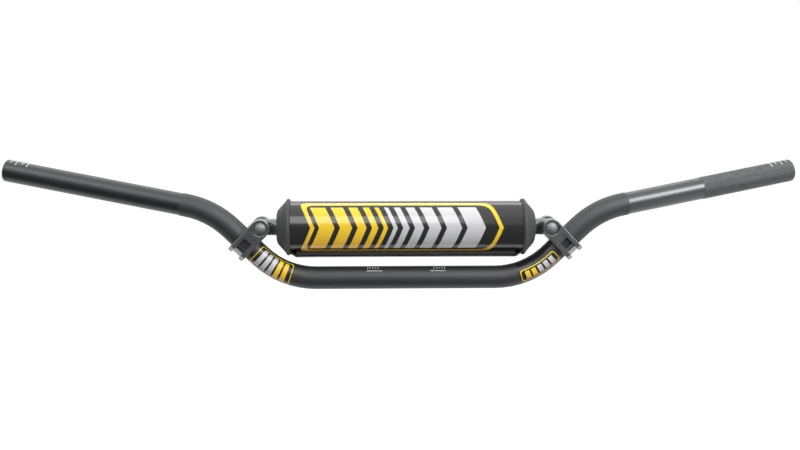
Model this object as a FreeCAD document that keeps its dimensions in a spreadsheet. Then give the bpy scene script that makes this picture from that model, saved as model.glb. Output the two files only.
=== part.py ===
"""Motocross handlebar: a bent aluminium tube with a padded crossbar held by two clamps.

Frame, in millimetres: the origin is the middle of the bar's straight clamping run, on its axis.
+X runs along that axis to the rider's left, +Y back to the rider, +Z up. Left and right in the
names are as seen from the front, so the piece called left is at -X.
"""
import FreeCAD, Part
import math
import os

import Sketcher
from FreeCAD import Placement, Rotation, Vector

DRIVING = {
    # the bent tube
    "tube_dia": 22.2,
    "bore_dia": 13.0,
    "centre_run": 175.0,
    "lower_bend_radius": 77.0,
    "upright_angle": 44.0,
    "upright_run": 39.0,
    "upper_bend_radius": 80.0,
    "grip_rise": 10.0,
    "grip_sweep": 9.0,
    "bend_lead_out": 4.5,
    # the turned grip seats and the bar ends
    "grip_seat_run": 178.5,
    "grip_seat_dia": 21.4,
    "clutch_smooth_run": 80.0,
    "knurl_dia": 21.8,
    "bar_end_round": 1.6,
    "bore_chamfer": 1.0,
    # the clamps on the uprights
    "clamp_station": 18.8,
    "pivot_offset": 20.8,
    "clamp_fit": 0.05,
    "ear_width": 18.0,
    "ear_half_depth": 16.4,
    "toe_reach": 14.4,
    "toe_slope": 4.4,
    "strap_radius": 14.3,
    "flange_width": 4.6,
    "shelf_top": 9.2,
    "square_recess_size": 8.2,
    "square_recess_floor": 12.3,
    "slot_recess_top": 5.8,
    "slot_recess_size": 1.7,
    "slot_recess_floor": 11.4,
    "ear_edge_round": 0.8,
    "seat_recess_radius": 7.2,
    "seat_recess_depth": 2.6,
    "seat_recess_chamfer": 0.5,
    # the pivot bolts, washers and lock nuts
    "bolt_dia": 6.0,
    "bolt_hole_play": 0.1,
    "head_dia": 12.0,
    "head_rise": 2.9,
    "head_rim": 0.5,
    "neck_length": 4.0,
    "washer_dia": 12.0,
    "washer_thick": 1.4,
    "nut_flats": 10.0,
    "nut_hex_height": 5.4,
    "nut_height": 7.8,
    "nut_collar_dia": 9.2,
    "insert_thick": 1.9,
    "insert_wall": 0.9,
    "nut_lip_thick": 0.45,
    "nut_lip_play": 0.3,
    "bolt_tail": 1.6,
    "bolt_tail_chamfer": 0.75,
    # the crossbar
    "crossbar_dia": 16.0,
    "crossbar_bore": 12.0,
    "eye_thick": 12.0,
    "ear_side_play": 0.1,
    "eye_flat_reach": 9.4,
    "eye_run_out": 7.0,
    "spigot_run": 18.0,
    "spigot_chamfer": 1.0,
    "crossbar_shoulder": 22.0,
    # the pad: its caps, foam, cover and closure
    "cap_stand_off": 15.2,
    "cap_depth": 13.4,
    "cap_face_radius": 11.8,
    "cap_corner": 5.2,
    "cap_corner_depth": 1.6,
    "cap_rim_radius": 27.3,
    "cap_lip": 4.4,
    "cap_wall": 3.0,
    "cap_skirt": 7.5,
    "pad_play": 0.2,
    "foam_radius": 24.2,
    "foam_slit": 1.0,
    "cover_thick": 0.8,
    "closure_thick": 1.9,
    "closure_run_in": 6.0,
    "flap_edge_angle": 237.0,
    "flap_root_angle": 304.0,
    "flap_blend_angle": 322.0,
    "under_end_angle": 300.0,
    "strip_margin_angle": 4.0,
    # the stickers on the lower bends
    "decal_thick": 0.2,
    "decal_glue": 0.05,
    "decal_start_angle": 17.0,
    "decal_lead": 6.0,
    "decal_front_low": 62.0,
    "decal_front_high": 66.0,
}

# How far a cut reaches past the solid, and how near two lengths are when they count as the same
CUT_MARGIN = 2.0
SAME = 1e-3

doc = FreeCAD.newDocument("motocross_handlebar")
sizes = doc.addObject("Spreadsheet::Sheet", "sizes")
for row, (alias, number) in enumerate(DRIVING.items(), start=1):
    sizes.set(f"A{row}", alias)
    sizes.set(f"B{row}", str(number))
    sizes.setAlias(f"B{row}", alias)
doc.recompute()


def size(alias):
    """Return the number that the sheet holds for one size."""
    return float(sizes.get(alias))


def bind(feature, **formulas):
    """Bind properties of a feature to formulas on the sheet, where @ stands for the sheet."""
    for name, formula in formulas.items():
        feature.setExpression(name, formula.replace("@", "sizes."))


def value(formula):
    """Work out a formula on the sheet as a plain number."""
    answer = sizes.evalExpression(formula.replace("@", "sizes."))
    return float(getattr(answer, "Value", answer))


# Sketches and bodies

def new_body(label):
    """Start a body for one piece."""
    body = doc.addObject("PartDesign::Body", label)
    body.Label = label
    return body


def sketch_on(body, name, role, lift=None):
    """Add a sketch on one of the body's origin planes, lifted off it by a formula if given."""
    plane = next(item for item in body.Origin.OriginFeatures if item.Role == role)
    sketch = body.newObject("Sketcher::SketchObject", f"{body.Label}_{name}")
    sketch.AttachmentSupport = [(plane, "")]
    sketch.MapMode = "FlatFace"
    if lift:
        sketch.AttachmentOffset = Placement(Vector(0, 0, value(lift)), Rotation())
        sketch.setExpression("AttachmentOffset.Base.z", lift.replace("@", "sizes."))
    return sketch


def dimension(sketch, kind, *where, formula):
    """Add a dimension that follows a formula on the sheet."""
    index = sketch.addConstraint(Sketcher.Constraint(kind, *where, value(formula)))
    sketch.setExpression(f"Constraints[{index}]", formula.replace("@", "sizes."))


def place_point(sketch, geometry, point, across, up):
    """Place a point of the sketch by its two coordinates from the origin."""
    for kind, formula in (("DistanceX", across), ("DistanceY", up)):
        if value(formula) < 0:
            dimension(sketch, kind, geometry, point, -1, 1, formula=f"-({formula})")
        else:
            dimension(sketch, kind, -1, 1, geometry, point, formula=formula)


def draw_circle(sketch, radius, up="0"):
    """Draw a circle of a given radius formula, centred on the vertical axis at a height."""
    centre = Vector(0, value(up), 0)
    index = sketch.addGeometry(Part.Circle(centre, Vector(0, 0, 1), value(radius)))
    dimension(sketch, "Radius", index, formula=radius)
    place_point(sketch, index, 3, "0", up)


def draw_polygon(sketch, corners):
    """Draw a closed outline of straight lines through corners given as pairs of formulas."""
    points = [Vector(value(across), value(up), 0) for across, up in corners]
    first = sketch.GeometryCount
    for start, end in zip(points, points[1:] + points[:1]):
        sketch.addGeometry(Part.LineSegment(start, end))
    for step in range(len(points)):
        following = first + (step + 1) % len(points)
        sketch.addConstraint(Sketcher.Constraint("Coincident", first + step, 2, following, 1))
    for step, (across, up) in enumerate(corners):
        place_point(sketch, first + step, 1, across, up)


def draw_axis(sketch, start, end):
    """Draw a construction line that a revolved feature turns about."""
    points = [Vector(value(across), value(up), 0) for across, up in (start, end)]
    index = sketch.addGeometry(Part.LineSegment(*points), True)
    place_point(sketch, index, 1, *start)
    place_point(sketch, index, 2, *end)


def draw_outline(sketch, edges):
    """Draw a closed outline of lines and arcs that were worked out from the sizes."""
    first = sketch.GeometryCount
    for edge in edges:
        sketch.addGeometry(edge)
    for index in range(first, sketch.GeometryCount):
        sketch.addConstraint(Sketcher.Constraint("Block", index))


def around(radius, degrees):
    """Return a point of a sketch on a circle about its origin, by its angle."""
    angle = math.radians(degrees)
    return Vector(radius * math.cos(angle), radius * math.sin(angle), 0)


def ring_arc(radius, start, end):
    """Return an arc of a sketch about its origin, between two angles."""
    return Part.Arc(around(radius, start), around(radius, (start + end) / 2), around(radius, end))


def extrude(sketch, length, both_sides=True):
    """Extrude a sketch into solid, to both sides of its plane unless told otherwise."""
    body = sketch.getParentGeoFeatureGroup()
    feature = body.newObject("PartDesign::Pad", f"{sketch.Name}_pad")
    feature.Profile = sketch
    feature.SideType = "Symmetric" if both_sides else "One side"
    bind(feature, Length=length)
    return feature


def pocket(sketch, length, both_sides=True):
    """Cut a sketch out of the solid, to both sides of its plane unless told otherwise."""
    body = sketch.getParentGeoFeatureGroup()
    feature = body.newObject("PartDesign::Pocket", f"{sketch.Name}_pocket")
    feature.Profile = sketch
    feature.SideType = "Symmetric" if both_sides else "One side"
    bind(feature, Length=length)
    return feature


def turn(sketch, kind="Revolution", axis="H_Axis", angle="360", reverse=False):
    """Revolve a sketch about one of its own axes, as a Revolution or a Groove."""
    body = sketch.getParentGeoFeatureGroup()
    feature = body.newObject(f"PartDesign::{kind}", f"{sketch.Name}_{kind.lower()}")
    feature.Profile = sketch
    feature.ReferenceAxis = (sketch, [axis])
    feature.Reversed = reverse
    bind(feature, Angle=angle)
    return feature


def round_edges(body, base, radius, wanted):
    """Round the edges of a feature that a test picks out."""
    doc.recompute()
    edges = enumerate(base.Shape.Edges, start=1)
    names = [f"Edge{index}" for index, edge in edges if wanted(edge)]
    feature = body.newObject("PartDesign::Fillet", f"{body.Label}_round")
    feature.Base = (base, names)
    bind(feature, Radius=radius)
    return feature


# The bar's centre line

def run(start, direction, length):
    """Return a straight edge of the centre line and the point where it ends."""
    end = start + direction * length
    return Part.LineSegment(start, end).toShape(), end


def bend(start, into, out_of, radius):
    """Return an arc that turns the centre line from one direction to another, and its end."""
    turn_angle = into.getAngle(out_of)
    inward = (out_of - into * into.dot(out_of)).normalize()
    centre = start + inward * radius

    def at(angle):
        return centre - inward * (radius * math.cos(angle)) + into * (radius * math.sin(angle))

    return Part.Arc(start, at(turn_angle / 2), at(turn_angle)).toShape(), at(turn_angle)


class Side:
    """The centre line of one half of the bar, from its middle to its end."""

    def __init__(self, sign):
        upright = math.radians(size("upright_angle"))
        rise = math.radians(size("grip_rise"))
        sweep = math.radians(size("grip_sweep"))
        self.sign = sign
        self.level = Vector(sign, 0, 0)
        self.up = Vector(sign * math.cos(upright), 0, math.sin(upright))
        out, back = math.cos(rise) * math.cos(sweep), math.cos(rise) * math.sin(sweep)
        self.grip = Vector(sign * out, back, math.sin(rise))
        middle, self.bend_start = run(Vector(), self.level, size("centre_run") / 2)
        lower, self.upright_start = bend(self.bend_start, self.level, self.up, size("lower_bend_radius"))
        upright_edge, upright_end = run(self.upright_start, self.up, size("upright_run"))
        upper, upper_end = bend(upright_end, self.up, self.grip, size("upper_bend_radius"))
        lead_out, self.seat_start = run(upper_end, self.grip, size("bend_lead_out"))
        seat, self.bar_end = run(self.seat_start, self.grip, size("grip_seat_run"))
        self.edges = [middle, lower, upright_edge, upper, lead_out, seat]
        self.clamp_centre = self.upright_start + self.up * size("clamp_station")
        inward = Vector(-sign * math.sin(upright), 0, math.cos(upright))
        self.pivot = self.clamp_centre + inward * size("pivot_offset")
        self.tilt = Rotation(Vector(0, 1, 0), -sign * size("upright_angle"))
        self.facing = Rotation() if sign > 0 else Rotation(Vector(0, 0, 1), 180)

    def along_grip(self, distance):
        """Return the placement whose Z axis runs outward along the grip, at a distance on its seat."""
        return Placement(self.seat_start + self.grip * distance, Rotation(Vector(0, 0, 1), self.grip))


LEFT, RIGHT = Side(-1), Side(1)
SIDES = {"left": LEFT, "right": RIGHT}
CROSSBAR_MIDDLE = Placement(Vector(0, 0, RIGHT.pivot.z), Rotation())
PIVOT_REACH = (
    "(@centre_run / 2 + @lower_bend_radius * sin(@upright_angle)"
    " + @clamp_station * cos(@upright_angle) - @pivot_offset * sin(@upright_angle))"
)


# The handlebar tube: one swept tube with turned seats at both ends

def make_handlebar_tube():
    """Sweep the tube and its bore along the centre line, and turn down the grip seats."""
    path = doc.addObject("Part::Feature", "bar_centre_line")
    path.Shape = Part.Wire(LEFT.edges[::-1] + RIGHT.edges)
    count = len(path.Shape.Edges)

    def swept(name, dia, start, spans):
        section = doc.addObject("Part::Circle", f"{name}_section")
        section.Placement = Placement(start, Rotation(Vector(0, 0, 1), LEFT.grip))
        bind(section, Radius=f"{dia} / 2")
        sweep = doc.addObject("Part::Sweep", name)
        sweep.Sections = [section]
        sweep.Spine = (path, [f"Edge{span}" for span in spans])
        sweep.Solid = True
        return sweep

    def seat(name, side, start, dia, length):
        cylinder = doc.addObject("Part::Cylinder", name)
        cylinder.Placement = side.along_grip(start)
        bind(cylinder, Radius=f"{dia} / 2", Height=length)
        return cylinder

    smooth = size("clutch_smooth_run")
    outside = doc.addObject("Part::MultiFuse", "bar_outside")
    outside.Shapes = [
        swept("bar_sweep", "@tube_dia", LEFT.seat_start, range(2, count)),
        seat("throttle_seat", LEFT, 0, "@grip_seat_dia", "@grip_seat_run"),
        seat("clutch_seat", RIGHT, 0, "@grip_seat_dia", "@clutch_smooth_run"),
        seat("knurled_seat", RIGHT, smooth, "@knurl_dia", "@grip_seat_run - @clutch_smooth_run"),
    ]
    bored = doc.addObject("Part::Cut", "bar_bored")
    bored.Base = outside
    bored.Tool = swept("bore_sweep", "@bore_dia", LEFT.bar_end, range(1, count + 1))
    bored.Refine = True
    doc.recompute()

    def end_edges(base, of_bore, amount):
        bore = size("bore_dia") / 2
        ends = [side.bar_end for side in SIDES.values()]
        found = []
        for index, edge in enumerate(base.Shape.Edges, start=1):
            at_end = any((edge.CenterOfMass - end).Length < SAME for end in ends)
            if at_end and isinstance(edge.Curve, Part.Circle):
                if of_bore == (abs(edge.Curve.Radius - bore) < SAME):
                    found.append((index, amount, amount))
        return found

    tube = doc.addObject("Part::Fillet", "bar_rounded")
    tube.Base = bored
    tube.Edges = end_edges(bored, False, size("bar_end_round"))
    doc.recompute()
    chamfered = doc.addObject("Part::Chamfer", "handlebar_tube")
    chamfered.Base = tube
    chamfered.Edges = end_edges(tube, True, size("bore_chamfer"))
    return chamfered


# A clamp, in its own frame: X along the upright, Y back, Z towards the pivot

def make_clamp(name, side):
    """Build a one-piece clamp with two ears, edge flanges and a ribbed pocket front and back."""
    body = new_body(f"clamp_{name}")
    depth, width, pivot = "@ear_half_depth", "@ear_width", "@pivot_offset"
    beyond = f"{depth} + {CUT_MARGIN}"

    # the flanges' outline from the side: flat in front and behind, with sloping toes
    side_view = sketch_on(body, "side_view", "YZ_Plane")
    toe, slope, foot = "@toe_reach", "(@toe_reach - @toe_slope)", f"({depth} - @toe_slope)"
    draw_polygon(side_view, [
        (depth, pivot), (f"-{depth}", pivot), (f"-{depth}", f"-{slope}"), (f"-{foot}", f"-{toe}"),
        (foot, f"-{toe}"), (depth, f"-{slope}"),
    ])
    extrude(side_view, width)
    ear_end = sketch_on(body, "ear_end", "XZ_Plane")
    draw_circle(ear_end, f"{width} / 2", up=pivot)
    extrude(ear_end, f"{depth} * 2")

    # the hollow between the flanges, which leaves the strap bare round the tube
    hollow = sketch_on(body, "hollow", "YZ_Plane")
    out, bare, top = size("ear_half_depth") + CUT_MARGIN, size("strap_radius"), size("shelf_top")
    corners = [
        (bare, 0), (bare, top), (out, top), (out, -out),
        (-out, -out), (-out, top), (-bare, top), (-bare, 0),
    ]
    points = [Vector(across, up, 0) for across, up in corners]
    edges = [Part.LineSegment(start, end) for start, end in zip(points, points[1:])]
    draw_outline(hollow, edges + [Part.Arc(points[-1], Vector(0, -bare, 0), points[0])])
    pocket(hollow, f"{width} - 2 * @flange_width")

    # the square recess over the tube, the rib and the narrow recess beyond it
    recesses = sketch_on(body, "recesses", "YZ_Plane")
    square, slot, tall = "@square_recess_floor", "@slot_recess_floor", "@square_recess_size / 2"
    slot_low = "-(@slot_recess_top + @slot_recess_size)"
    for sign in ("", "-"):
        draw_polygon(recesses, [
            (f"{sign}{square}", f"-{tall}"), (f"{sign}({beyond})", f"-{tall}"),
            (f"{sign}({beyond})", tall), (f"{sign}{square}", tall),
        ])
        draw_polygon(recesses, [
            (f"{sign}{slot}", slot_low), (f"{sign}({beyond})", slot_low),
            (f"{sign}({beyond})", "-@slot_recess_top"), (f"{sign}{slot}", "-@slot_recess_top"),
        ])
    pocket(recesses, f"{width} - 2 * @flange_width")

    # the mouth that the crossbar's eye stands in, and the bore round the tube
    mouth = sketch_on(body, "mouth", "YZ_Plane")
    half = "(@eye_thick / 2 + @ear_side_play)"
    above = f"{pivot} + {width} / 2 + {CUT_MARGIN}"
    draw_polygon(mouth, [(f"-{half}", "0"), (half, "0"), (half, above), (f"-{half}", above)])
    pocket(mouth, f"{width} + {CUT_MARGIN}")
    bore = sketch_on(body, "bore", "YZ_Plane")
    draw_circle(bore, "@tube_dia / 2 + @clamp_fit")
    gripped = pocket(bore, f"{width} + {CUT_MARGIN}")

    def outer_edge(edge):
        w, p = size("ear_width") / 2, size("pivot_offset")
        face, low = size("ear_half_depth"), size("toe_reach")
        sloping = face + low - size("toe_slope")
        near = []
        for vertex in [*edge.Vertexes, Part.Vertex(edge.valueAt(sum(edge.ParameterRange) / 2))]:
            x, y, z = vertex.Point
            on_side = abs(abs(x) - w) < SAME or (z > p and abs(math.hypot(x, z - p) - w) < SAME)
            on_face = min(abs(abs(y) - face), abs(z + low), abs(abs(y) - z - sloping)) < SAME
            near.append(on_side and on_face)
        return all(near)

    round_edges(body, gripped, "@ear_edge_round", outer_edge)

    # the bolt's hole with a recess for the head in front and for the washer behind
    seat = sketch_on(body, "bolt_seat", "YZ_Plane")
    hole = f"{pivot} + @bolt_dia / 2 + @bolt_hole_play"
    wall = f"{pivot} + @seat_recess_radius"
    mouth_edge = f"{wall} + @seat_recess_chamfer"
    stations = [
        (beyond, mouth_edge), (depth, mouth_edge), (f"{depth} - @seat_recess_chamfer", wall),
        (f"{depth} - @seat_recess_depth", wall), (f"{depth} - @seat_recess_depth", hole),
    ]
    front = [(f"-({across})", up) for across, up in stations]
    draw_polygon(seat, [(f"-({beyond})", pivot), *front, *reversed(stations), (beyond, pivot)])
    draw_axis(seat, ("0", pivot), (depth, pivot))
    turn(seat, kind="Groove", axis="Axis0")
    square_hole = sketch_on(body, "neck_hole", "XZ_Plane", lift=f"{depth} - @seat_recess_depth")
    reach = "(@bolt_dia / 2 + @bolt_hole_play)"
    draw_polygon(square_hole, [
        (f"-{reach}", f"{pivot} - {reach}"), (reach, f"{pivot} - {reach}"),
        (reach, f"{pivot} + {reach}"), (f"-{reach}", f"{pivot} + {reach}"),
    ])
    pocket(square_hole, "@neck_length + @bolt_hole_play", both_sides=False)
    body.Placement = Placement(side.clamp_centre, side.tilt)


# The fasteners, in a frame at the pivot: Y runs back along the bolt

SEAT_DEPTH = "(@ear_half_depth - @seat_recess_depth)"
NUT_SEAT = f"({SEAT_DEPTH} + @washer_thick)"


def make_pivot_bolt(name, side):
    """Turn a bolt with a domed head, and add the square neck that stops it turning."""
    body = new_body(f"pivot_bolt_{name}")
    profile = sketch_on(body, "profile", "YZ_Plane")
    seat = size("ear_half_depth") - size("seat_recess_depth")
    head, rise, rim = size("head_dia") / 2, size("head_rise"), size("head_rim")
    shank, chamfer = size("bolt_dia") / 2, size("bolt_tail_chamfer")
    tail = seat + size("washer_thick") + size("nut_height") + size("bolt_tail")
    crown = Vector(-seat - rise, 0, 0)
    points = [
        Vector(-seat - rim, head, 0), Vector(-seat, head, 0), Vector(-seat, shank, 0),
        Vector(tail - chamfer, shank, 0), Vector(tail, shank - chamfer, 0), Vector(tail, 0, 0), crown,
    ]
    dome_rise = rise - rim
    dome_radius = (head ** 2 + dome_rise ** 2) / (2 * dome_rise)
    half_angle = math.asin(head / dome_radius) / 2
    middle = crown + Vector(dome_radius * (1 - math.cos(half_angle)), dome_radius * math.sin(half_angle), 0)
    edges = [Part.LineSegment(start, end) for start, end in zip(points, points[1:])]
    draw_outline(profile, edges + [Part.Arc(crown, middle, points[0])])
    turn(profile)
    neck = sketch_on(body, "neck", "XZ_Plane", lift=SEAT_DEPTH)
    half = "@bolt_dia / 2"
    draw_polygon(neck, [(f"-{half}", f"-{half}"), (half, f"-{half}"), (half, half), (f"-{half}", half)])
    collar = extrude(neck, "@neck_length", both_sides=False)
    collar.Reversed = True
    body.Placement = Placement(side.pivot, side.tilt)


def make_washer(name, side):
    """Punch the washer that lies in the rear ear's recess."""
    body = new_body(f"washer_{name}")
    ring = sketch_on(body, "ring", "XZ_Plane", lift=f"-{NUT_SEAT}")
    draw_circle(ring, "@washer_dia / 2")
    draw_circle(ring, "@bolt_dia / 2 + @bolt_hole_play")
    extrude(ring, "@washer_thick", both_sides=False)
    body.Placement = Placement(side.pivot, side.tilt)


def make_lock_nut(name, side):
    """Build a hexagon nut whose rear collar is turned in over a nylon ring."""
    body = new_body(f"lock_nut_{name}")
    hexagon = sketch_on(body, "hexagon", "XZ_Plane", lift=f"-{NUT_SEAT}")
    corner = size("nut_flats") / 2 / math.cos(math.pi / 6)
    points = [around(corner, 60 * step) for step in range(7)]
    draw_outline(hexagon, [Part.LineSegment(start, end) for start, end in zip(points, points[1:])])
    blank = extrude(hexagon, "@nut_hex_height", both_sides=False)
    blank.Reversed = True

    # the collar, with its lip turned in over the ring
    collar = sketch_on(body, "collar", "YZ_Plane")
    shoulder, top = f"{NUT_SEAT} + @nut_hex_height", f"{NUT_SEAT} + @nut_height"
    draw_polygon(collar, [
        (NUT_SEAT, "0"), (NUT_SEAT, "@nut_collar_dia / 2"),
        (f"{top} - @insert_wall", "@nut_collar_dia / 2"), (top, "@nut_collar_dia / 2 - @insert_wall"),
        (top, "0"),
    ])
    turn(collar)
    bore = sketch_on(body, "bore", "YZ_Plane")
    ledge, ring_top = f"{top} - @nut_lip_thick - @insert_thick", f"{top} - @nut_lip_thick"
    thread, pocket_radius = "@bolt_dia / 2", "@nut_collar_dia / 2 - @insert_wall"
    mouth = "@bolt_dia / 2 + @nut_lip_play"
    draw_polygon(bore, [
        (f"{NUT_SEAT} - {CUT_MARGIN}", "0"), (f"{NUT_SEAT} - {CUT_MARGIN}", thread), (ledge, thread),
        (ledge, pocket_radius), (ring_top, pocket_radius), (ring_top, mouth),
        (f"{top} + {CUT_MARGIN}", mouth), (f"{top} + {CUT_MARGIN}", "0"),
    ])
    turn(bore, kind="Groove")

    # the corners of the hexagon, turned off at 30 degrees on both sides
    crown = sketch_on(body, "crown", "YZ_Plane")
    across, over = "@nut_flats / 2", f"@nut_flats / 2 + {CUT_MARGIN}"
    slope = f"{CUT_MARGIN} * tan(30)"
    for start, sign in ((NUT_SEAT, "+"), (shoulder, "-")):
        draw_polygon(crown, [(start, across), (f"{start} {sign} {slope}", over), (start, over)])
    turn(crown, kind="Groove")
    body.Placement = Placement(side.pivot, side.tilt)


def make_lock_insert(name, side):
    """Build the nylon ring inside the nut's collar."""
    body = new_body(f"lock_insert_{name}")
    front = f"{NUT_SEAT} + @nut_height - @nut_lip_thick - @insert_thick"
    ring = sketch_on(body, "ring", "XZ_Plane", lift=f"-({front})")
    draw_circle(ring, "@nut_collar_dia / 2 - @insert_wall")
    draw_circle(ring, "@bolt_dia / 2")
    rolled = extrude(ring, "@insert_thick", both_sides=False)
    rolled.Reversed = True
    body.Placement = Placement(side.pivot, side.tilt)


# The crossbar: a tube with a flat-sided eye pressed into each end

def make_crossbar_tube():
    """Cut the crossbar's tube to the run between the two end fittings."""
    body = new_body("crossbar_tube")
    ring = sketch_on(body, "ring", "YZ_Plane")
    draw_circle(ring, "@crossbar_dia / 2")
    draw_circle(ring, "@crossbar_bore / 2")
    extrude(ring, f"2 * ({PIVOT_REACH} - @crossbar_shoulder)")
    body.Placement = CROSSBAR_MIDDLE


def make_crossbar_end(name, side):
    """Turn an end fitting, then mill its flats, its round end and its bolt hole."""
    body = new_body(f"crossbar_end_{name}")
    outer, plug, shoulder = "@crossbar_dia / 2", "@crossbar_bore / 2", "@crossbar_shoulder"
    over = f"@crossbar_dia / 2 + {CUT_MARGIN}"
    turned = sketch_on(body, "turned", "XZ_Plane")
    far = f"({shoulder} + @spigot_run)"
    draw_polygon(turned, [
        (f"-{far}", "0"), (outer, "0"), (outer, outer), (f"-{shoulder}", outer), (f"-{shoulder}", plug),
        (f"-({far} - @spigot_chamfer)", plug), (f"-{far}", f"{plug} - @spigot_chamfer"),
    ])
    turn(turned)

    # the eye is round about the bolt
    eye = sketch_on(body, "eye", "XZ_Plane")
    radius, out = size("crossbar_dia") / 2, size("crossbar_dia") / 2 + CUT_MARGIN
    corners = [(0, -radius), (0, -out), (out, -out), (out, out), (0, out), (0, radius)]
    points = [Vector(across, up, 0) for across, up in corners]
    edges = [Part.LineSegment(start, end) for start, end in zip(points, points[1:])]
    draw_outline(eye, edges + [Part.Arc(points[-1], Vector(radius, 0, 0), points[0])])
    pocket(eye, f"2 * ({over})")

    # two flats, which run out on a slope into the round bar
    flats = sketch_on(body, "flats", "XY_Plane")
    flat, run_out = "@eye_thick / 2", "(@eye_flat_reach + @eye_run_out)"
    for sign in ("", "-"):
        draw_polygon(flats, [
            (over, f"{sign}{flat}"), ("-@eye_flat_reach", f"{sign}{flat}"),
            (f"-{run_out}", f"{sign}{outer}"), (f"-{run_out}", f"{sign}({over})"),
            (over, f"{sign}({over})"),
        ])
    pocket(flats, f"2 * ({over})")
    hole = sketch_on(body, "hole", "XZ_Plane")
    draw_circle(hole, "@bolt_dia / 2 + @bolt_hole_play")
    pocket(hole, f"2 * ({over})")
    body.Placement = Placement(side.pivot, side.facing)


# The pad on the crossbar

COVER_REACH = f"({PIVOT_REACH} - @cap_stand_off - @cap_depth)"


def make_pad_foam():
    """Cut the foam roll: a step at each end goes into the cap, and a slit lets it over the bar."""
    body = new_body("pad_foam")
    core = f"@foam_radius - @pad_play - @cap_wall - @pad_play"
    full = f"({COVER_REACH} - @cap_skirt - @pad_play)"
    tip = f"({COVER_REACH} - @pad_play)"
    bore = "@crossbar_dia / 2 + @pad_play"
    roll = sketch_on(body, "roll", "XZ_Plane")
    draw_polygon(roll, [
        (f"-{tip}", bore), (tip, bore), (tip, core), (full, core), (full, "@foam_radius - @pad_play"),
        (f"-{full}", "@foam_radius - @pad_play"), (f"-{full}", core), (f"-{tip}", core),
    ])
    turn(roll)
    slit = sketch_on(body, "slit", "YZ_Plane")
    half, deep = "@foam_slit / 2", "@foam_radius"
    draw_polygon(slit, [("0", f"-{half}"), (deep, f"-{half}"), (deep, half), ("0", half)])
    pocket(slit, f"2 * {tip} + {CUT_MARGIN}")
    body.Placement = CROSSBAR_MIDDLE


def make_pad_end_cap(name, side):
    """Mould a cap: a flat face, a cone out to a rounded rim, and a skirt inside the cover."""
    body = new_body(f"pad_end_cap_{name}")
    profile = sketch_on(body, "profile", "XZ_Plane")
    face = -size("cap_stand_off")
    back = face - size("cap_depth")
    hole, flat = size("crossbar_dia") / 2 + size("pad_play"), size("cap_face_radius")
    corner, depth = size("cap_corner"), size("cap_corner_depth")
    rim, lip, wall = size("cap_rim_radius"), size("cap_lip"), size("cap_wall")
    skirt_end, skirt = back - size("cap_skirt"), size("foam_radius") - size("pad_play")

    # the cone leaves the flat face through a rounded corner and meets the rim's rounding
    rim_start = Vector(back + lip, rim - lip / 2, 0)
    cone_start = Vector(face - depth, flat + corner, 0)
    round_radius = (depth ** 2 + corner ** 2) / (2 * depth)
    round_half = math.asin(corner / round_radius) / 2
    corner_middle = Vector(
        face - round_radius * (1 - math.cos(round_half)), flat + round_radius * math.sin(round_half), 0
    )
    rim_top = Vector(back + lip / 2, rim, 0)
    rim_back = Vector(back, rim - lip / 2, 0)
    inside = [
        rim_back, Vector(back, skirt, 0), Vector(skirt_end, skirt, 0), Vector(skirt_end, skirt - wall, 0),
        Vector(back, skirt - wall, 0), Vector(face - wall, flat + corner - wall / 2, 0),
        Vector(face - wall, hole, 0), Vector(face, hole, 0), Vector(face, flat, 0),
    ]
    outline = [Part.LineSegment(start, end) for start, end in zip(inside, inside[1:])]
    outline.append(Part.Arc(inside[-1], corner_middle, cone_start))
    outline.append(Part.LineSegment(cone_start, rim_start))
    outline.append(Part.Arc(rim_start, rim_top, rim_back))
    draw_outline(profile, outline)
    turn(profile)
    body.Placement = Placement(side.pivot, side.facing)


def make_pad_cover():
    """Wrap the cover round the foam, and lead its flap out over the closure along the bottom."""
    body = new_body("pad_cover")
    wrap = sketch_on(body, "wrap", "YZ_Plane")
    inner, thick = size("foam_radius"), size("cover_thick")
    flap = inner + thick + 2 * size("closure_thick")
    under_end, blend = size("under_end_angle"), size("flap_blend_angle") - 360
    root, edge = size("flap_root_angle") - 360, size("flap_edge_angle") - 360
    draw_outline(wrap, [
        ring_arc(inner, under_end, blend),
        Part.LineSegment(around(inner, blend), around(flap, root)),
        ring_arc(flap, root, edge),
        Part.LineSegment(around(flap, edge), around(flap + thick, edge)),
        ring_arc(flap + thick, edge, root),
        Part.LineSegment(around(flap + thick, root), around(inner + thick, blend)),
        ring_arc(inner + thick, blend, under_end),
        Part.LineSegment(around(inner + thick, under_end), around(inner, under_end)),
    ])
    extrude(wrap, f"2 * ({COVER_REACH} - @pad_play)")
    body.Placement = CROSSBAR_MIDDLE


def make_closure_strip(label, layer):
    """Lay one strip of the cover's fastening, on the wrap (layer 0) or under the flap (layer 1)."""
    body = new_body(label)
    band = sketch_on(body, "band", "YZ_Plane")
    low = size("foam_radius") + size("cover_thick") + layer * size("closure_thick")
    high = low + size("closure_thick")
    start = size("flap_edge_angle") + size("strip_margin_angle")
    end = size("under_end_angle") - size("strip_margin_angle")
    draw_outline(band, [
        ring_arc(low, start, end), Part.LineSegment(around(low, end), around(high, end)),
        ring_arc(high, end, start), Part.LineSegment(around(high, start), around(low, start)),
    ])
    extrude(band, f"2 * ({COVER_REACH} - @closure_run_in)")
    body.Placement = CROSSBAR_MIDDLE


# The stickers: X runs up the upright from the end of the lower bend, Z to the bend's centre

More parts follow.
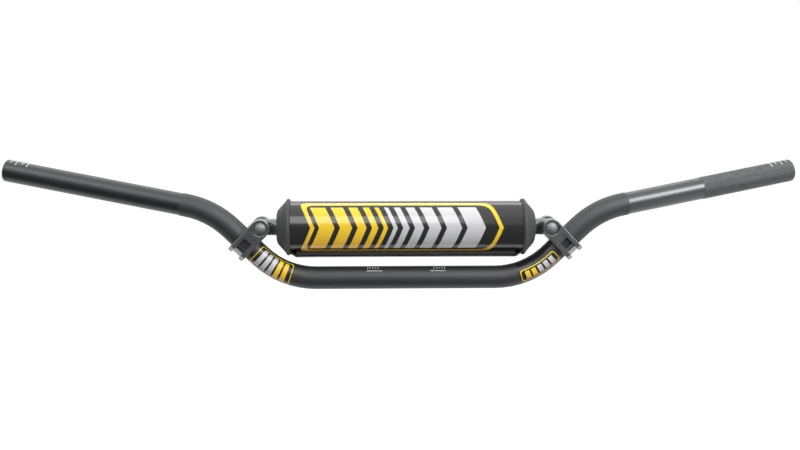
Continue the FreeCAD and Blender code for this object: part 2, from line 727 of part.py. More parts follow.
def make_decal(name, side):
    """Bend a thin sticker over the front of the tube, round the lower bend and onto the upright."""
    body = new_body(f"decal_{name}")
    low = size("tube_dia") / 2 + size("decal_glue")
    high = low + size("decal_thick")
    start, end = 180 - size("decal_front_high"), 180 + size("decal_front_low")
    section = [
        ring_arc(low, start, end), Part.LineSegment(around(low, end), around(high, end)),
        ring_arc(high, end, start), Part.LineSegment(around(high, start), around(low, start)),
    ]
    straight = sketch_on(body, "straight", "YZ_Plane")
    draw_outline(straight, section)
    run_up = extrude(straight, "@decal_lead", both_sides=False)
    run_up.Reversed = side.sign < 0
    curved = sketch_on(body, "curved", "YZ_Plane")
    draw_outline(curved, section)
    draw_axis(curved, ("0", "@lower_bend_radius"), ("@decal_lead", "@lower_bend_radius"))
    turn(curved, axis="Axis0", angle="@upright_angle - @decal_start_angle", reverse=side.sign < 0)
    body.Placement = Placement(side.upright_start, side.tilt)


make_handlebar_tube()
make_crossbar_tube()
make_pad_foam()
make_pad_cover()
make_closure_strip("closure_loop_strip", layer=0)
make_closure_strip("closure_hook_strip", layer=1)
for side_name, bar_side in SIDES.items():
    make_clamp(side_name, bar_side)
    make_pivot_bolt(side_name, bar_side)
    make_washer(side_name, bar_side)
    make_lock_nut(side_name, bar_side)
    make_lock_insert(side_name, bar_side)
    make_crossbar_end(side_name, bar_side)
    make_pad_end_cap(side_name, bar_side)
    make_decal(side_name, bar_side)
doc.recompute()

# Every piece is checked before any file is written
bodies = [item for item in doc.Objects if item.TypeId == "PartDesign::Body"]
pieces = [doc.getObject("handlebar_tube"), *bodies]
failed = [item.Label for item in doc.Objects if {"Invalid", "Error"} & set(item.State)]
if failed:
    raise RuntimeError(f"not rebuilt: {', '.join(failed)}")
for piece in pieces:
    if piece.Shape.isNull() or not piece.Shape.isValid() or len(piece.Shape.Solids) != 1:
        raise RuntimeError(f"{piece.Label} is not one sound solid")

os.makedirs("parts", exist_ok=True)
for piece in pieces:
    piece.Shape.exportStep(f"parts/{piece.Label}.step")
    print(piece.Label, round(piece.Shape.Volume, 1))
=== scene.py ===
"""Motocross handlebar with a padded crossbar: the finish of each surface, and the studio round it.

All of it is in metres in the part's own frame: +X to the rider's left, +Y back to the rider, +Z up.
Sizes are held in millimetres and turned to metres where a mesh is made. Left and right in the names
are as seen from the front, so the piece called left is at -X.
"""
from __future__ import annotations

import logging
import math
from collections.abc import Callable
from dataclasses import dataclass, field
from enum import Enum

import bpy
from mathutils import Matrix, Quaternion, Vector, noise

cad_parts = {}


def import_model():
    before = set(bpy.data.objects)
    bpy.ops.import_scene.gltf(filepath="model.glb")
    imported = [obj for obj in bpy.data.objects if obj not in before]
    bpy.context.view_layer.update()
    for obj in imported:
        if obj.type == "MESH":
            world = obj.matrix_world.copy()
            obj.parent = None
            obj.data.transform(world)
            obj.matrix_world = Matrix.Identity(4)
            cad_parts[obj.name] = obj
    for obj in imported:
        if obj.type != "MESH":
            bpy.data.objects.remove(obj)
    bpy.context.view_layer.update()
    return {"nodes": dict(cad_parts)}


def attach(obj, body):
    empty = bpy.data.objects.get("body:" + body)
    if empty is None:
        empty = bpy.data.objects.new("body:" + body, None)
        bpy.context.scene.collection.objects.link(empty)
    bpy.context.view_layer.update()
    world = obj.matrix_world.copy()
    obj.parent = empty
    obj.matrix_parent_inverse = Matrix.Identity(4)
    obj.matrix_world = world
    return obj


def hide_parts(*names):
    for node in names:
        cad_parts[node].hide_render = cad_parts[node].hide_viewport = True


LOG = logging.getLogger("handlebar")
MM = 0.001
BODY = "root"

Socket = bpy.types.NodeSocket
Tree = bpy.types.NodeTree


class Side(Enum):
    """The two halves of the bar, as seen from the front, with the sign of X there."""

    LEFT = -1
    RIGHT = 1

    @property
    def word(self) -> str:
        """The side's word in the names of pieces."""
        return self.name.lower()


# Shared helpers for numbers, nodes and meshes


def ease(share: float) -> float:
    """Ease a share in and out, and hold it between 0 and 1."""
    share = min(1.0, max(0.0, share))
    return share * share * (3 - 2 * share)


def linear(colour: str) -> tuple[float, float, float, float]:
    """Turn an sRGB hex colour into linear values.

    Args:
        colour: The colour as six hex digits after a hash mark.

    Returns:
        Red, green, blue and a full alpha.
    """
    shares = [int(colour[place : place + 2], 16) / 255 for place in (1, 3, 5)]
    light = [((c + 0.055) / 1.055) ** 2.4 if c > 0.04045 else c / 12.92 for c in shares]
    return (*light, 1.0)


def add_node(tree: Tree, kind: str, inputs: dict | None = None, **properties) -> bpy.types.Node:
    """Add a node with its settings and links.

    Args:
        tree: The tree that it goes into.
        kind: The node's type name.
        inputs: Values or sockets by the name or number of the input they go to.
        **properties: Settings of the node itself.

    Returns:
        The new node.
    """
    node = tree.nodes.new(kind)
    for name, setting in properties.items():
        setattr(node, name, setting)
    for key, given in (inputs or {}).items():
        if isinstance(given, Socket):
            tree.links.new(given, node.inputs[key])
        else:
            node.inputs[key].default_value = given
    return node


def work_out(tree: Tree, known: dict[str, Socket], steps: dict[str, tuple]) -> dict[str, Socket]:
    """Work values out of one another over the surface, by one step of arithmetic each.

    Args:
        tree: The tree that the steps go into.
        known: The values to start from, by name.
        steps: How each new value is worked out, in order: the operation, then names or numbers.

    Returns:
        The values to start from and the new ones, by name.
    """
    values = dict(known)
    for name, (operation, *terms) in steps.items():
        inputs = {place: values[term] if isinstance(term, str) else term for place, term in enumerate(terms)}
        values[name] = add_node(tree, "ShaderNodeMath", inputs, operation=operation).outputs[0]
    return values


def deselect() -> None:
    """Leave object mode with nothing selected."""
    if bpy.context.object and bpy.context.object.mode != "OBJECT":
        bpy.ops.object.mode_set(mode="OBJECT")
    bpy.ops.object.select_all(action="DESELECT")


def take(piece: bpy.types.Object) -> None:
    """Make a piece the only selected and active one.

    Args:
        piece: The piece.
    """
    deselect()
    piece.select_set(True)
    bpy.context.view_layer.objects.active = piece


def edit(piece: bpy.types.Object, *steps: Callable[[], object]) -> None:
    """Run operators on the whole of a piece's mesh in edit mode.

    Args:
        piece: The piece.
        *steps: What is run, in order, from everything selected.
    """
    take(piece)
    bpy.ops.object.mode_set(mode="EDIT")
    bpy.ops.mesh.select_all(action="SELECT")
    for step in steps:
        step()
    bpy.ops.object.mode_set(mode="OBJECT")


def named(name: str) -> bpy.types.Object:
    """Name the primitive that was just added.

    Args:
        name: The name for the object and its mesh.

    Returns:
        The object.
    """
    piece = bpy.context.object
    piece.name = name
    piece.data.name = name
    return piece


def join(pieces: list[bpy.types.Object], name: str) -> bpy.types.Object:
    """Join pieces of one kind into one object.

    Args:
        pieces: The pieces.
        name: The name for what they become.

    Returns:
        The joined piece.
    """
    deselect()
    for piece in pieces:
        piece.select_set(True)
    bpy.context.view_layer.objects.active = pieces[0]
    bpy.ops.object.join()
    return named(name)


def modify(piece: bpy.types.Object, kind: str, **settings) -> None:
    """Add a modifier and apply it at once.

    Args:
        piece: The piece that it works on.
        kind: The modifier's type name.
        **settings: Settings of the modifier.
    """
    take(piece)
    modifier = piece.modifiers.new(kind.lower(), kind)
    for name, setting in settings.items():
        setattr(modifier, name, setting)
    bpy.ops.object.modifier_apply(modifier=modifier.name)


def face_outwards() -> None:
    """Merge what lies double and turn every face outwards, in edit mode."""
    bpy.ops.mesh.select_all(action="SELECT")
    bpy.ops.mesh.remove_doubles(threshold=1e-6)
    bpy.ops.mesh.normals_make_consistent(inside=False)


def reshape(piece: bpy.types.Object, place: Callable[[Vector], Vector]) -> None:
    """Move every point of a piece.

    Args:
        piece: The piece.
        place: Where a point goes from where it was, both in millimetres.
    """
    for point in piece.data.vertices:
        point.co = place(point.co / MM) * MM
    piece.data.update()


def dress(nodes: dict[str, bpy.types.Object], finish: Finish, *names: str) -> None:
    """Give carried-over solids their finish.

    Args:
        nodes: The frame's solids by name.
        finish: What they are made of.
        *names: Which of them to dress.
    """
    for name in names:
        for place in nodes[name].material_slots:
            place.material = finish.material()
        LOG.info("%s: %s", name, finish.name)


def hand_over(
    piece: bpy.types.Object,
    finish: Finish,
    replaces: tuple[str, ...] = (),
    smooth_below: float = 40.0,
) -> bpy.types.Object:
    """Dress a finished piece, shade it and fix it to the bar.

    Args:
        piece: The piece, with its place in its mesh.
        finish: What it is made of, if it has no material yet.
        replaces: The plain solids that it stands for.
        smooth_below: Edges flatter than this many degrees are shaded smooth.

    Returns:
        The piece.
    """
    if not piece.data.materials:
        piece.data.materials.append(finish.material())
    take(piece)
    bpy.ops.object.shade_smooth_by_angle(angle=math.radians(smooth_below))
    if replaces:
        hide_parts(*replaces)
    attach(piece, BODY)
    LOG.info("%s: %d faces", piece.name, len(piece.data.polygons))
    return piece


# Finishes


@dataclass(frozen=True)
class Finish:
    """A surface: its colour, how rough and metallic it is, its patches and its fine grain.

    Where two colours or two roughnesses are given, the surface runs from one to the other in
    patches. Widths and depths are in millimetres.
    """

    name: str = "plain"
    colour: str = "#808080"
    roughness: float = 0.5
    metallic: float = 0.0
    colours: tuple[str, str] | None = None
    roughnesses: tuple[float, float] | None = None
    patch: float = 3.0
    patch_detail: float = 2.0
    grain: float = 1.0
    grain_depth: float = 0.0

    def material(self) -> bpy.types.Material:
        """Make the material, the first time that it is asked for.

        Returns:
            The material.
        """
        known = bpy.data.materials.get(self.name)
        if known:
            return known
        made = bpy.data.materials.new(self.name)
        made.use_nodes = True
        tree = made.node_tree
        tree.nodes.clear()
        settings = {"Base Color": linear(self.colour), "Roughness": self.roughness}
        shader = add_node(tree, "ShaderNodeBsdfPrincipled", {**settings, "Metallic": self.metallic})
        add_node(tree, "ShaderNodeOutputMaterial", {"Surface": shader.outputs[0]})
        self.dress(tree, shader)
        return made

    def dress(self, tree: Tree, shader: bpy.types.Node) -> None:
        """Run the surface from one colour and roughness to the other, and raise its grain.

        Args:
            tree: The material's tree.
            shader: The shader in it.
        """
        if self.colours or self.roughnesses:
            patches = self.patches(tree)
        if self.colours:
            low, high = (linear(colour) for colour in self.colours)
            colour = add_node(tree, "ShaderNodeMix", {0: patches, 6: low, 7: high}, data_type="RGBA")
            tree.links.new(colour.outputs[2], shader.inputs["Base Color"])
        if self.roughnesses:
            spread = {0: patches, 3: self.roughnesses[0], 4: self.roughnesses[1]}
            roughness = add_node(tree, "ShaderNodeMapRange", spread)
            tree.links.new(roughness.outputs[0], shader.inputs["Roughness"])
        if self.grain_depth:
            self.raise_surface(tree, shader, self.lumps(tree, self.grain), self.grain_depth)

    def patches(self, tree: Tree) -> Socket:
        """Return how far the surface has run from one end to the other, from 0 to 1."""
        return self.lumps(tree, self.patch, self.patch_detail)

    def surface_point(self, tree: Tree) -> Socket:
        """Find the point of the surface.

        Args:
            tree: The material's tree.

        Returns:
            The point in millimetres.
        """
        where = add_node(tree, "ShaderNodeTexCoord").outputs["Object"]
        scaled = {0: where, "Scale": 1 / MM}
        return add_node(tree, "ShaderNodeVectorMath", scaled, operation="SCALE").outputs[0]

    def lumps(self, tree: Tree, width: float, detail: float = 2.0) -> Socket:
        """Spread soft lumps over the surface.

        Args:
            tree: The material's tree.
            width: How wide they are, in millimetres.
            detail: How many times finer lumps lie on them.

        Returns:
            Their height from 0 to 1.
        """
        settings = {"Vector": self.surface_point(tree), "Scale": 1 / width, "Detail": detail}
        return add_node(tree, "ShaderNodeTexNoise", settings).outputs["Fac"]

    def raise_surface(self, tree: Tree, shader: bpy.types.Node, height: Socket, depth: float) -> None:
        """Raise the surface, on top of what raises it already.

        Args:
            tree: The material's tree.
            shader: The shader in it.
            height: The height from 0 to 1.
            depth: How deep its full range is, in millimetres.
        """
        settings = {"Height": height, "Distance": depth * MM, "Strength": 1.0}
        raised = add_node(tree, "ShaderNodeBump", settings)
        before = shader.inputs["Normal"].links
        if before:
            tree.links.new(before[0].from_socket, raised.inputs["Normal"])
        tree.links.new(raised.outputs[0], shader.inputs["Normal"])


@dataclass(frozen=True)
class BarAnodising(Finish):
    """Black anodised aluminium tube, bead-blasted in the middle and turned at both grip seats.

    The blasting leaves a fine matt grain, the lathe leaves rings along the seats, and the lever's
    seat is left the brightest of them.
    """

    name: str = "anodised_aluminium_bar"
    roughness: float = 0.6
    metallic: float = 1.0
    blasted_colours: tuple[str, str] = ("#464748", "#505152")
    mottle: float = 22.0
    mottle_share: float = 0.3
    seat_colour: str = "#464748"
    seat_roughness: float = 0.42
    bright_colour: str = "#505152"
    bright_roughness: float = 0.35
    knurl_colour: str = "#4b4c4d"
    blast_grain: float = 0.9
    blast_depth: float = 0.012
    lathe_feed: float = 0.9
    lathe_depth: float = 0.003

    def dress(self, tree: Tree, shader: bpy.types.Node) -> None:
        """Lay the blasted grain, the turned rings and the brighter seat along the tube.

        Args:
            tree: The material's tree.
            shader: The shader in it.
        """
        bar = BarPath()
        known = {"mottle": self.lumps(tree, self.mottle), "beads": self.lumps(tree, self.blast_grain)}
        where = self.surface_point(tree)
        for side in Side:
            from_start = {0: where, 1: bar.seat_start(side)}
            offset = add_node(tree, "ShaderNodeVectorMath", from_start, operation="SUBTRACT").outputs[0]
            along = {0: offset, 1: bar.grip(side)}
            along_seat = add_node(tree, "ShaderNodeVectorMath", along, operation="DOT_PRODUCT")
            known[side.word] = along_seat.outputs["Value"]
        made = work_out(tree, known, {
            "throttle_seat": ("GREATER_THAN", "left", 0.0),
            "clutch_side": ("GREATER_THAN", "right", 0.0),
            "knurled": ("GREATER_THAN", "right", bar.smooth_run),
            "bright": ("SUBTRACT", "clutch_side", "knurled"),
            "mottled": ("MULTIPLY_ADD", "mottle", self.mottle_share, (1 - self.mottle_share) / 2),
            "turned": ("MULTIPLY_ADD", "throttle_seat", self.seat_roughness - self.roughness, self.roughness),
            "rough": ("MULTIPLY_ADD", "bright", self.bright_roughness - self.roughness, "turned"),
            "smooth": ("ADD", "throttle_seat", "bright"),
            "blasted": ("SUBTRACT", 1.0, "smooth"),
            "grain": ("MULTIPLY", "beads", "blasted"),
            "turns": ("MULTIPLY", "right", math.tau / self.lathe_feed),
            "groove": ("SINE", "turns"),
            "rings": ("MULTIPLY", "groove", "smooth"),
        })
        colour = linear(self.blasted_colours[0])
        for share, over in (
            ("mottled", self.blasted_colours[1]),
            ("throttle_seat", self.seat_colour),
            ("knurled", self.knurl_colour),
            ("bright", self.bright_colour),
        ):
            layers = {0: made[share], 6: colour, 7: linear(over)}
            colour = add_node(tree, "ShaderNodeMix", layers, data_type="RGBA").outputs[2]
        tree.links.new(colour, shader.inputs["Base Color"])
        tree.links.new(made["rough"], shader.inputs["Roughness"])
        self.raise_surface(tree, shader, made["grain"], self.blast_depth)
        self.raise_surface(tree, shader, made["rings"], self.lathe_depth)


@dataclass(frozen=True)
class KnurlAnodising(Finish):
    """Black anodising over diamond knurling, a little brighter in patches."""

    name: str = "anodised_aluminium_knurled"
    metallic: float = 1.0
    colours: tuple[str, str] = ("#4a4b4c", "#616263")
    patch: float = 6.0
    patch_detail: float = 4.0


@dataclass(frozen=True)
class TurnedAnodising(Finish):
    """Black anodised aluminium, turned and milled, with a little wear that lets it shine."""

    name: str = "anodised_aluminium_turned"
    colour: str = "#6c6d6e"
    metallic: float = 1.0
    roughnesses: tuple[float, float] = (0.26, 0.42)
    patch: float = 1.6
    grain: float = 1.6
    grain_depth: float = 0.006


@dataclass(frozen=True)
class FlakePaint(Finish):
    """Cast aluminium under thin satin black paint with metal flake, so that broken edges shine.

    The colour follows the casting's slight unevenness, and the gloss follows the paint's film.
    """

    name: str = "cast_aluminium_flake_paint"
    metallic: float = 1.0
    colours: tuple[str, str] = ("#78797a", "#848586")
    patch: float = 9.0
    grain: float = 1.1
    grain_depth: float = 0.005
    film: float = 2.6
    film_detail: float = 3.0
    film_roughnesses: tuple[float, float] = (0.24, 0.34)

    def dress(self, tree: Tree, shader: bpy.types.Node) -> None:
        """Add the film's own gloss to the casting's patches and the paint's peel.

        Args:
            tree: The material's tree.
            shader: The shader in it.
        """
        super().dress(tree, shader)
        film = self.lumps(tree, self.film, self.film_detail)
        spread = {0: film, 3: self.film_roughnesses[0], 4: self.film_roughnesses[1]}
        roughness = add_node(tree, "ShaderNodeMapRange", spread).outputs[0]
        tree.links.new(roughness, shader.inputs["Roughness"])


@dataclass(frozen=True)
class RecessShadePaint(Finish):
    """The same paint, dull and near black inside the cast recesses: the near black is painted shade."""

    name: str = "cast_aluminium_recess_painted_shade"
    colour: str = "#343536"
    roughness: float = 0.6
    metallic: float = 0.6


@dataclass(frozen=True)
class DarkZinc(Finish):
    """Dark zinc-plated steel bolt, satin and dulled in patches, with a faintly uneven plating."""

    name: str = "dark_zinc_steel"
    metallic: float = 1.0
    colours: tuple[str, str] = ("#76787b", "#8c8e90")
    roughnesses: tuple[float, float] = (0.52, 0.66)
    patch: float = 2.4
    patch_detail: float = 4.0
    grain: float = 0.8
    grain_depth: float = 0.003


@dataclass(frozen=True)
class BrightZinc(Finish):
    """Clear zinc-plated steel of nuts and washers, clouded from a bluish to a yellowish tone."""

    name: str = "bright_zinc_steel"
    metallic: float = 1.0
    colours: tuple[str, str] = ("#a9adb2", "#bbb7a4")
    roughnesses: tuple[float, float] = (0.22, 0.4)
    patch_detail: float = 3.0


@dataclass(frozen=True)
class Nylon(Finish):
    """Moulded blue nylon of a lock nut's ring, waxy and slightly see-through at its edge."""

    name: str = "moulded_nylon"
    colour: str = "#2f5fa8"
    roughness: float = 0.45
    grain: float = 0.7
    grain_depth: float = 0.01
    glow_share: float = 0.1
    glow_reach: float = 0.5

    def dress(self, tree: Tree, shader: bpy.types.Node) -> None:
        """Let a little light into the plastic.

        Args:
            tree: The material's tree.
            shader: The shader in it.
        """
        super().dress(tree, shader)
        shader.inputs["Subsurface Weight"].default_value = self.glow_share
        shader.inputs["Subsurface Scale"].default_value = self.glow_reach * MM


@dataclass(frozen=True)
class PebbledRubber(Finish):
    """Moulded rubber with a fine pebbled skin, dull and dark grey, a little greyer where handled."""

    name: str = "moulded_rubber_pebbled"
    colours: tuple[str, str] = ("#2f3030", "#3e3f3f")
    roughnesses: tuple[float, float] = (0.55, 0.72)
    patch: float = 3.2
    patch_detail: float = 4.0
    pebble: float = 1.3
    pebble_depth: float = 0.07

    def dress(self, tree: Tree, shader: bpy.types.Node) -> None:
        """Raise the pebbles under the rubber's bloom.

        Args:
            tree: The material's tree.
            shader: The shader in it.
        """
        super().dress(tree, shader)
        cells = {"Vector": self.surface_point(tree), "Scale": 1 / self.pebble}
        pebbles = add_node(tree, "ShaderNodeTexVoronoi", cells, feature="SMOOTH_F1")
        known = {"from_middle": pebbles.outputs["Distance"]}
        height = work_out(tree, known, {"height": ("SUBTRACT", 1.0, "from_middle")})["height"]
        self.raise_surface(tree, shader, height, self.pebble_depth)


@dataclass(frozen=True)
class Foam(Finish):
    """Charcoal closed-cell foam, whose cut cells make an even, light-swallowing grain."""

    name: str = "closed_cell_foam"
    roughness: float = 0.95
    colours: tuple[str, str] = ("#161617", "#2c2c2d")
    cell: float = 1.1
    cell_depth: float = 0.25

    def patches(self, tree: Tree) -> Socket:
        """Return the cut cells, from 0 in their middles."""
        cells = {"Vector": self.surface_point(tree), "Scale": 1 / self.cell}
        return add_node(tree, "ShaderNodeTexVoronoi", cells).outputs["Distance"]

    def dress(self, tree: Tree, shader: bpy.types.Node) -> None:
        """Colour the cells and open them in the surface."""
        super().dress(tree, shader)
        self.raise_surface(tree, shader, self.patches(tree), self.cell_depth)


@dataclass(frozen=True)
class FastenerTape(Finish):
    """Woven nylon tape with a field of hooks or a nap of loops, which reads as a dull grid."""

    name: str = "nylon_tape"
    colour: str = "#1b1b1c"
    roughness: float = 0.85
    pitch: float = 1.2
    depth: float = 0.3
    sheen: float = 0.3

    def dress(self, tree: Tree, shader: bpy.types.Node) -> None:
        """Set the hooks or loops in rows along and across the tape.

        Args:
            tree: The material's tree.
            shader: The shader in it.
        """
        shader.inputs["Sheen Weight"].default_value = self.sheen
        split = add_node(tree, "ShaderNodeSeparateXYZ", {0: self.surface_point(tree)})
        known = {"x": split.outputs[0], "y": split.outputs[1], "nap": self.lumps(tree, self.pitch / 2)}
        made = work_out(tree, known, {
            "along": ("MULTIPLY", "x", math.tau / self.pitch),
            "across": ("MULTIPLY", "y", math.tau / self.pitch),
            "columns": ("SINE", "along"),
            "rows": ("SINE", "across"),
            "tufts": ("MULTIPLY", "columns", "rows"),
            "height": ("ADD", "tufts", "nap"),
        })
        self.raise_surface(tree, shader, made["height"], self.depth)


@dataclass(frozen=True)
class SewingThread(Finish):
    """Bonded polyester thread, black, with the ribs of its twist."""

    name: str = "polyester_thread"
    colour: str = "#1d1d1e"
    roughness: float = 0.75
    twist: float = 0.5
    twist_depth: float = 0.06

    def dress(self, tree: Tree, shader: bpy.types.Node) -> None:
        """Wind the twist along the thread.

        Args:
            tree: The material's tree.
            shader: The shader in it.
        """
        wave = {"Vector": self.surface_point(tree), "Scale": 1 / self.twist / math.tau}
        ribs = add_node(tree, "ShaderNodeTexWave", wave).outputs["Fac"]
        self.raise_surface(tree, shader, ribs, self.twist_depth)


@dataclass(frozen=True)
class LaserMark(Finish):
    """Anodising burnt off by a laser, which leaves a chalky and slightly patchy pale grey."""

    name: str = "laser_etched_aluminium"
    roughness: float = 0.6
    colours: tuple[str, str] = ("#a6a7ac", "#c8c9cd")
    patch: float = 0.6
    patch_detail: float = 3.0


@dataclass(frozen=True)
class RacingPrint(Finish):
    """Black film or coated cloth with printed chevrons in a rounded frame, on the piece's flat map.

    The ink runs from bright yellow at the top to amber at the bottom on one half and from pale to
    dark silver on the other, over a fine dot raster. The darkening towards the bottom is partly a
    printed gradient and partly painted shade.
    """

    name: str = "print"
    colour: str = "#161617"
    roughness: float = 0.2
    # Dark and bright end of each ink, from the bottom of the print to the top: partly printed gradient,
    # partly painted shade.
    yellow: tuple[str, str] = ("#c8972c", "#edd028")
    silver: tuple[str, str] = ("#8d8d90", "#d6d6d8")
    map_width: float = 100.0
    map_height: float = 20.0
    map_zero: float = 0.5
    frame_reach: float = 90.0
    frame_low: float = -20.0
    frame_high: float = 20.0
    frame_line: float = 2.0
    frame_round: float = 6.0
    lean: float = 0.28
    bars: tuple[tuple[float, float, bool], ...] = ()
    bar_low: float = -16.0
    bar_high: float = 16.0
    raster: float = 0.55
    raster_share: float = 0.5
    grain: float = 14.0
    grain_depth: float = 0.05

    def flat_point(self, tree: Tree) -> dict[str, Socket]:
        """Find the place on the unrolled piece, in millimetres from its middle.

        Args:
            tree: The material's tree.

        Returns:
            The place across and up.
        """
        uv = add_node(tree, "ShaderNodeUVMap", uv_map="flat").outputs[0]
        split = add_node(tree, "ShaderNodeSeparateXYZ", {0: uv})
        return work_out(tree, {"u": split.outputs[0], "v": split.outputs[1]}, {
            "across": ("MULTIPLY_ADD", "u", self.map_width, -self.map_width / 2),
            "up": ("MULTIPLY_ADD", "v", self.map_height, -self.map_height * self.map_zero),
        })

    def chevron_steps(self) -> dict[str, tuple]:
        """List the steps that add up the chevrons of each colour.

        Returns:
            The steps, of which the last two are called yellow and silver.
        """
        steps: dict[str, tuple] = {}
        so_far = {"yellow": 0.0, "silver": 0.0}
        for number, (centre, width, is_yellow) in enumerate(self.bars):
            ink = "yellow" if is_yellow else "silver"
            steps[f"bar_{number}"] = ("COMPARE", "point", centre, width / 2)
            steps[f"{ink}_{number}"] = ("ADD", so_far[ink], f"bar_{number}")
            so_far[ink] = f"{ink}_{number}"
        return {**steps, **{ink: ("ADD", last, 0.0) for ink, last in so_far.items()}}

    def ink(self, tree: Tree) -> dict[str, Socket]:
        """Work out where the ink is.

        Args:
            tree: The material's tree.

        Returns:
            The masks of all ink and of its yellow part, as ink and gold, and the height on the
            print from 0 to 1 with its raster, as shaded, which darkens the ink towards the bottom: partly
            a printed gradient, partly painted shade.
        """
        known = self.flat_point(tree)
        span = {0: known["up"], 1: self.frame_low, 2: self.frame_high}
        known["share"] = add_node(tree, "ShaderNodeMapRange", span).outputs[0]
        known["dots"] = self.lumps(tree, self.raster, detail=1.0)
        return work_out(tree, known, {
            "off_middle": ("SUBTRACT", "up", (self.frame_low + self.frame_high) / 2),
            "from_middle": ("ABSOLUTE", "off_middle"),
            "point": ("MULTIPLY_ADD", "from_middle", self.lean, "across"),
            "mirrored": ("MULTIPLY", "point", -1.0),
            "past_edge": ("SUBTRACT", "from_middle", (self.frame_high - self.frame_low) / 2),
            "past_right": ("SUBTRACT", "point", self.frame_reach),
            "past_left": ("SUBTRACT", "mirrored", self.frame_reach),
            "past_one_end": ("SMOOTH_MAX", "past_edge", "past_right", self.frame_round),
            "past_frame": ("SMOOTH_MAX", "past_one_end", "past_left", self.frame_round),
            "line": ("COMPARE", "past_frame", -self.frame_line / 2, self.frame_line / 2),
            "over_foot": ("GREATER_THAN", "up", self.bar_low),
            "under_top": ("LESS_THAN", "up", self.bar_high),
            "within": ("MULTIPLY", "over_foot", "under_top"),
            **self.chevron_steps(),
            "both": ("ADD", "yellow", "silver"),
            "chevrons": ("MULTIPLY", "both", "within"),
            "yellow_within": ("MULTIPLY", "yellow", "within"),
            "gold": ("MAXIMUM", "line", "yellow_within"),
            "ink": ("MAXIMUM", "line", "chevrons"),
            "raised_dots": ("SUBTRACT", "dots", 0.5),
            "shaded": ("MULTIPLY_ADD", "raised_dots", self.raster_share, "share"),
        })

    def dress(self, tree: Tree, shader: bpy.types.Node) -> None:
        """Print the frame and the chevrons on the film, which is slightly uneven.

        Args:
            tree: The material's tree.
            shader: The shader in it.
        """
        super().dress(tree, shader)
        made = self.ink(tree)
        inks = []
        # Each ink darkens from its high to its low colour down the print: partly printed gradient, partly
        # painted shade.
        for low, high in (self.silver, self.yellow):
            shades = {0: made["shaded"], 6: linear(low), 7: linear(high)}
            inks.append(add_node(tree, "ShaderNodeMix", shades, data_type="RGBA").outputs[2])
        printed = {0: made["gold"], 6: inks[0], 7: inks[1]}
        colour = add_node(tree, "ShaderNodeMix", printed, data_type="RGBA").outputs[2]
        on_film = {0: made["ink"], 6: linear(self.colour), 7: colour}
        colour = add_node(tree, "ShaderNodeMix", on_film, data_type="RGBA").outputs[2]
        tree.links.new(colour, shader.inputs["Base Color"])


# The bar's centre line


@dataclass(frozen=True)
class BarPath:
    """The bent tube's centre line, in millimetres: run, bend, upright, bend and grip seat."""

    centre_run: float = 175.0
    lower_radius: float = 77.0
    upright_angle: float = 44.0
    upright_run: float = 39.0
    upper_radius: float = 80.0
    grip_rise: float = 10.0
    grip_sweep: float = 9.0
    lead_out: float = 4.5
    seat_run: float = 178.5
    smooth_run: float = 80.0
    tube_radius: float = 11.1
    seat_radius: float = 10.7
    knurl_radius: float = 10.9

    def up(self, side: Side) -> Vector:
        """The direction of one upright."""
        angle = math.radians(self.upright_angle)
        return Vector((side.value * math.cos(angle), 0, math.sin(angle)))

    def grip(self, side: Side) -> Vector:
        """Find the direction of one grip.

        Args:
            side: The half of the bar.

        Returns:
            The direction, outwards.
        """
        rise, sweep = math.radians(self.grip_rise), math.radians(self.grip_sweep)
        out, back = math.cos(rise) * math.cos(sweep), math.cos(rise) * math.sin(sweep)
        return Vector((side.value * out, back, math.sin(rise)))

    def point(self, side: Side, distance: float) -> tuple[Vector, Vector]:
        """Find a place on the centre line.

        Args:
            side: The half of the bar.
            distance: How far along the line it is from the bar's middle.

        Returns:
            The point and the direction of the line there, outwards.
        """
        here, heading = Vector((0, 0, 0)), Vector((side.value, 0, 0))
        up, grip = self.up(side), self.grip(side)
        for length, turn_to, radius in (
            (self.centre_run / 2, None, 0.0),
            (self.lower_radius * heading.angle(up), up, self.lower_radius),
            (self.upright_run, None, 0.0),
            (self.upper_radius * up.angle(grip), grip, self.upper_radius),
            (self.lead_out + self.seat_run, None, 0.0),
        ):
            step = min(distance, length)
            if turn_to is None:
                here = here + heading * step
            else:
                inward = (turn_to - heading * heading.dot(turn_to)).normalized()
                angle = step / radius
                here = here + heading * (radius * math.sin(angle)) + inward * (radius * (1 - math.cos(angle)))
                heading = heading * math.cos(angle) + inward * math.sin(angle)
            distance -= step
            if distance <= 0:
                break
        return here, heading

    def seat_distance(self, side: Side) -> float:
        """Find where a grip seat starts.

        Args:
            side: The half of the bar.

        Returns:
            How far along the line that is.
        """
        upper = self.upper_radius * self.up(side).angle(self.grip(side))
        lower = self.lower_radius * math.radians(self.upright_angle)
        return self.centre_run / 2 + lower + self.upright_run + upper + self.lead_out

    def seat_start(self, side: Side) -> Vector:
        """The point where a grip seat starts."""
        return self.point(side, self.seat_distance(side))[0]

    def on_surface(self, side: Side, distance: float, angle: float, radius: float) -> Vector:
        """Find a point round the line.

        Args:
            side: The half of the bar.
            distance: How far along the line it is from the bar's middle.
            angle: The angle round the line from the front towards the top, in radians.
            radius: How far from the line it is.

        Returns:
            The point.
        """
        here, heading = self.point(side, distance)
        front = Vector((0, -1, 0))
        front = (front - heading * heading.dot(front)).normalized()
        top = front.cross(heading) * side.value
        return here + (front * math.cos(angle) + top * math.sin(angle)) * radius

    def lay(self, piece: bpy.types.Object, side: Side, distance: float, angle: float, radius: float) -> None:
        """Lay a flat piece on the tube, its X outwards along the bar and its Y up round it.

        Args:
            piece: The piece, modelled flat round the origin.
            side: The half of the bar.
            distance: Where its middle goes, along the line.
            angle: Where its middle goes, round the line, in radians.
            radius: How far from the line its underside lies.
        """
        reshape(piece, lambda p: self.on_surface(side, distance + p.x, angle + p.y / radius, radius + p.z))
        edit(piece, face_outwards)


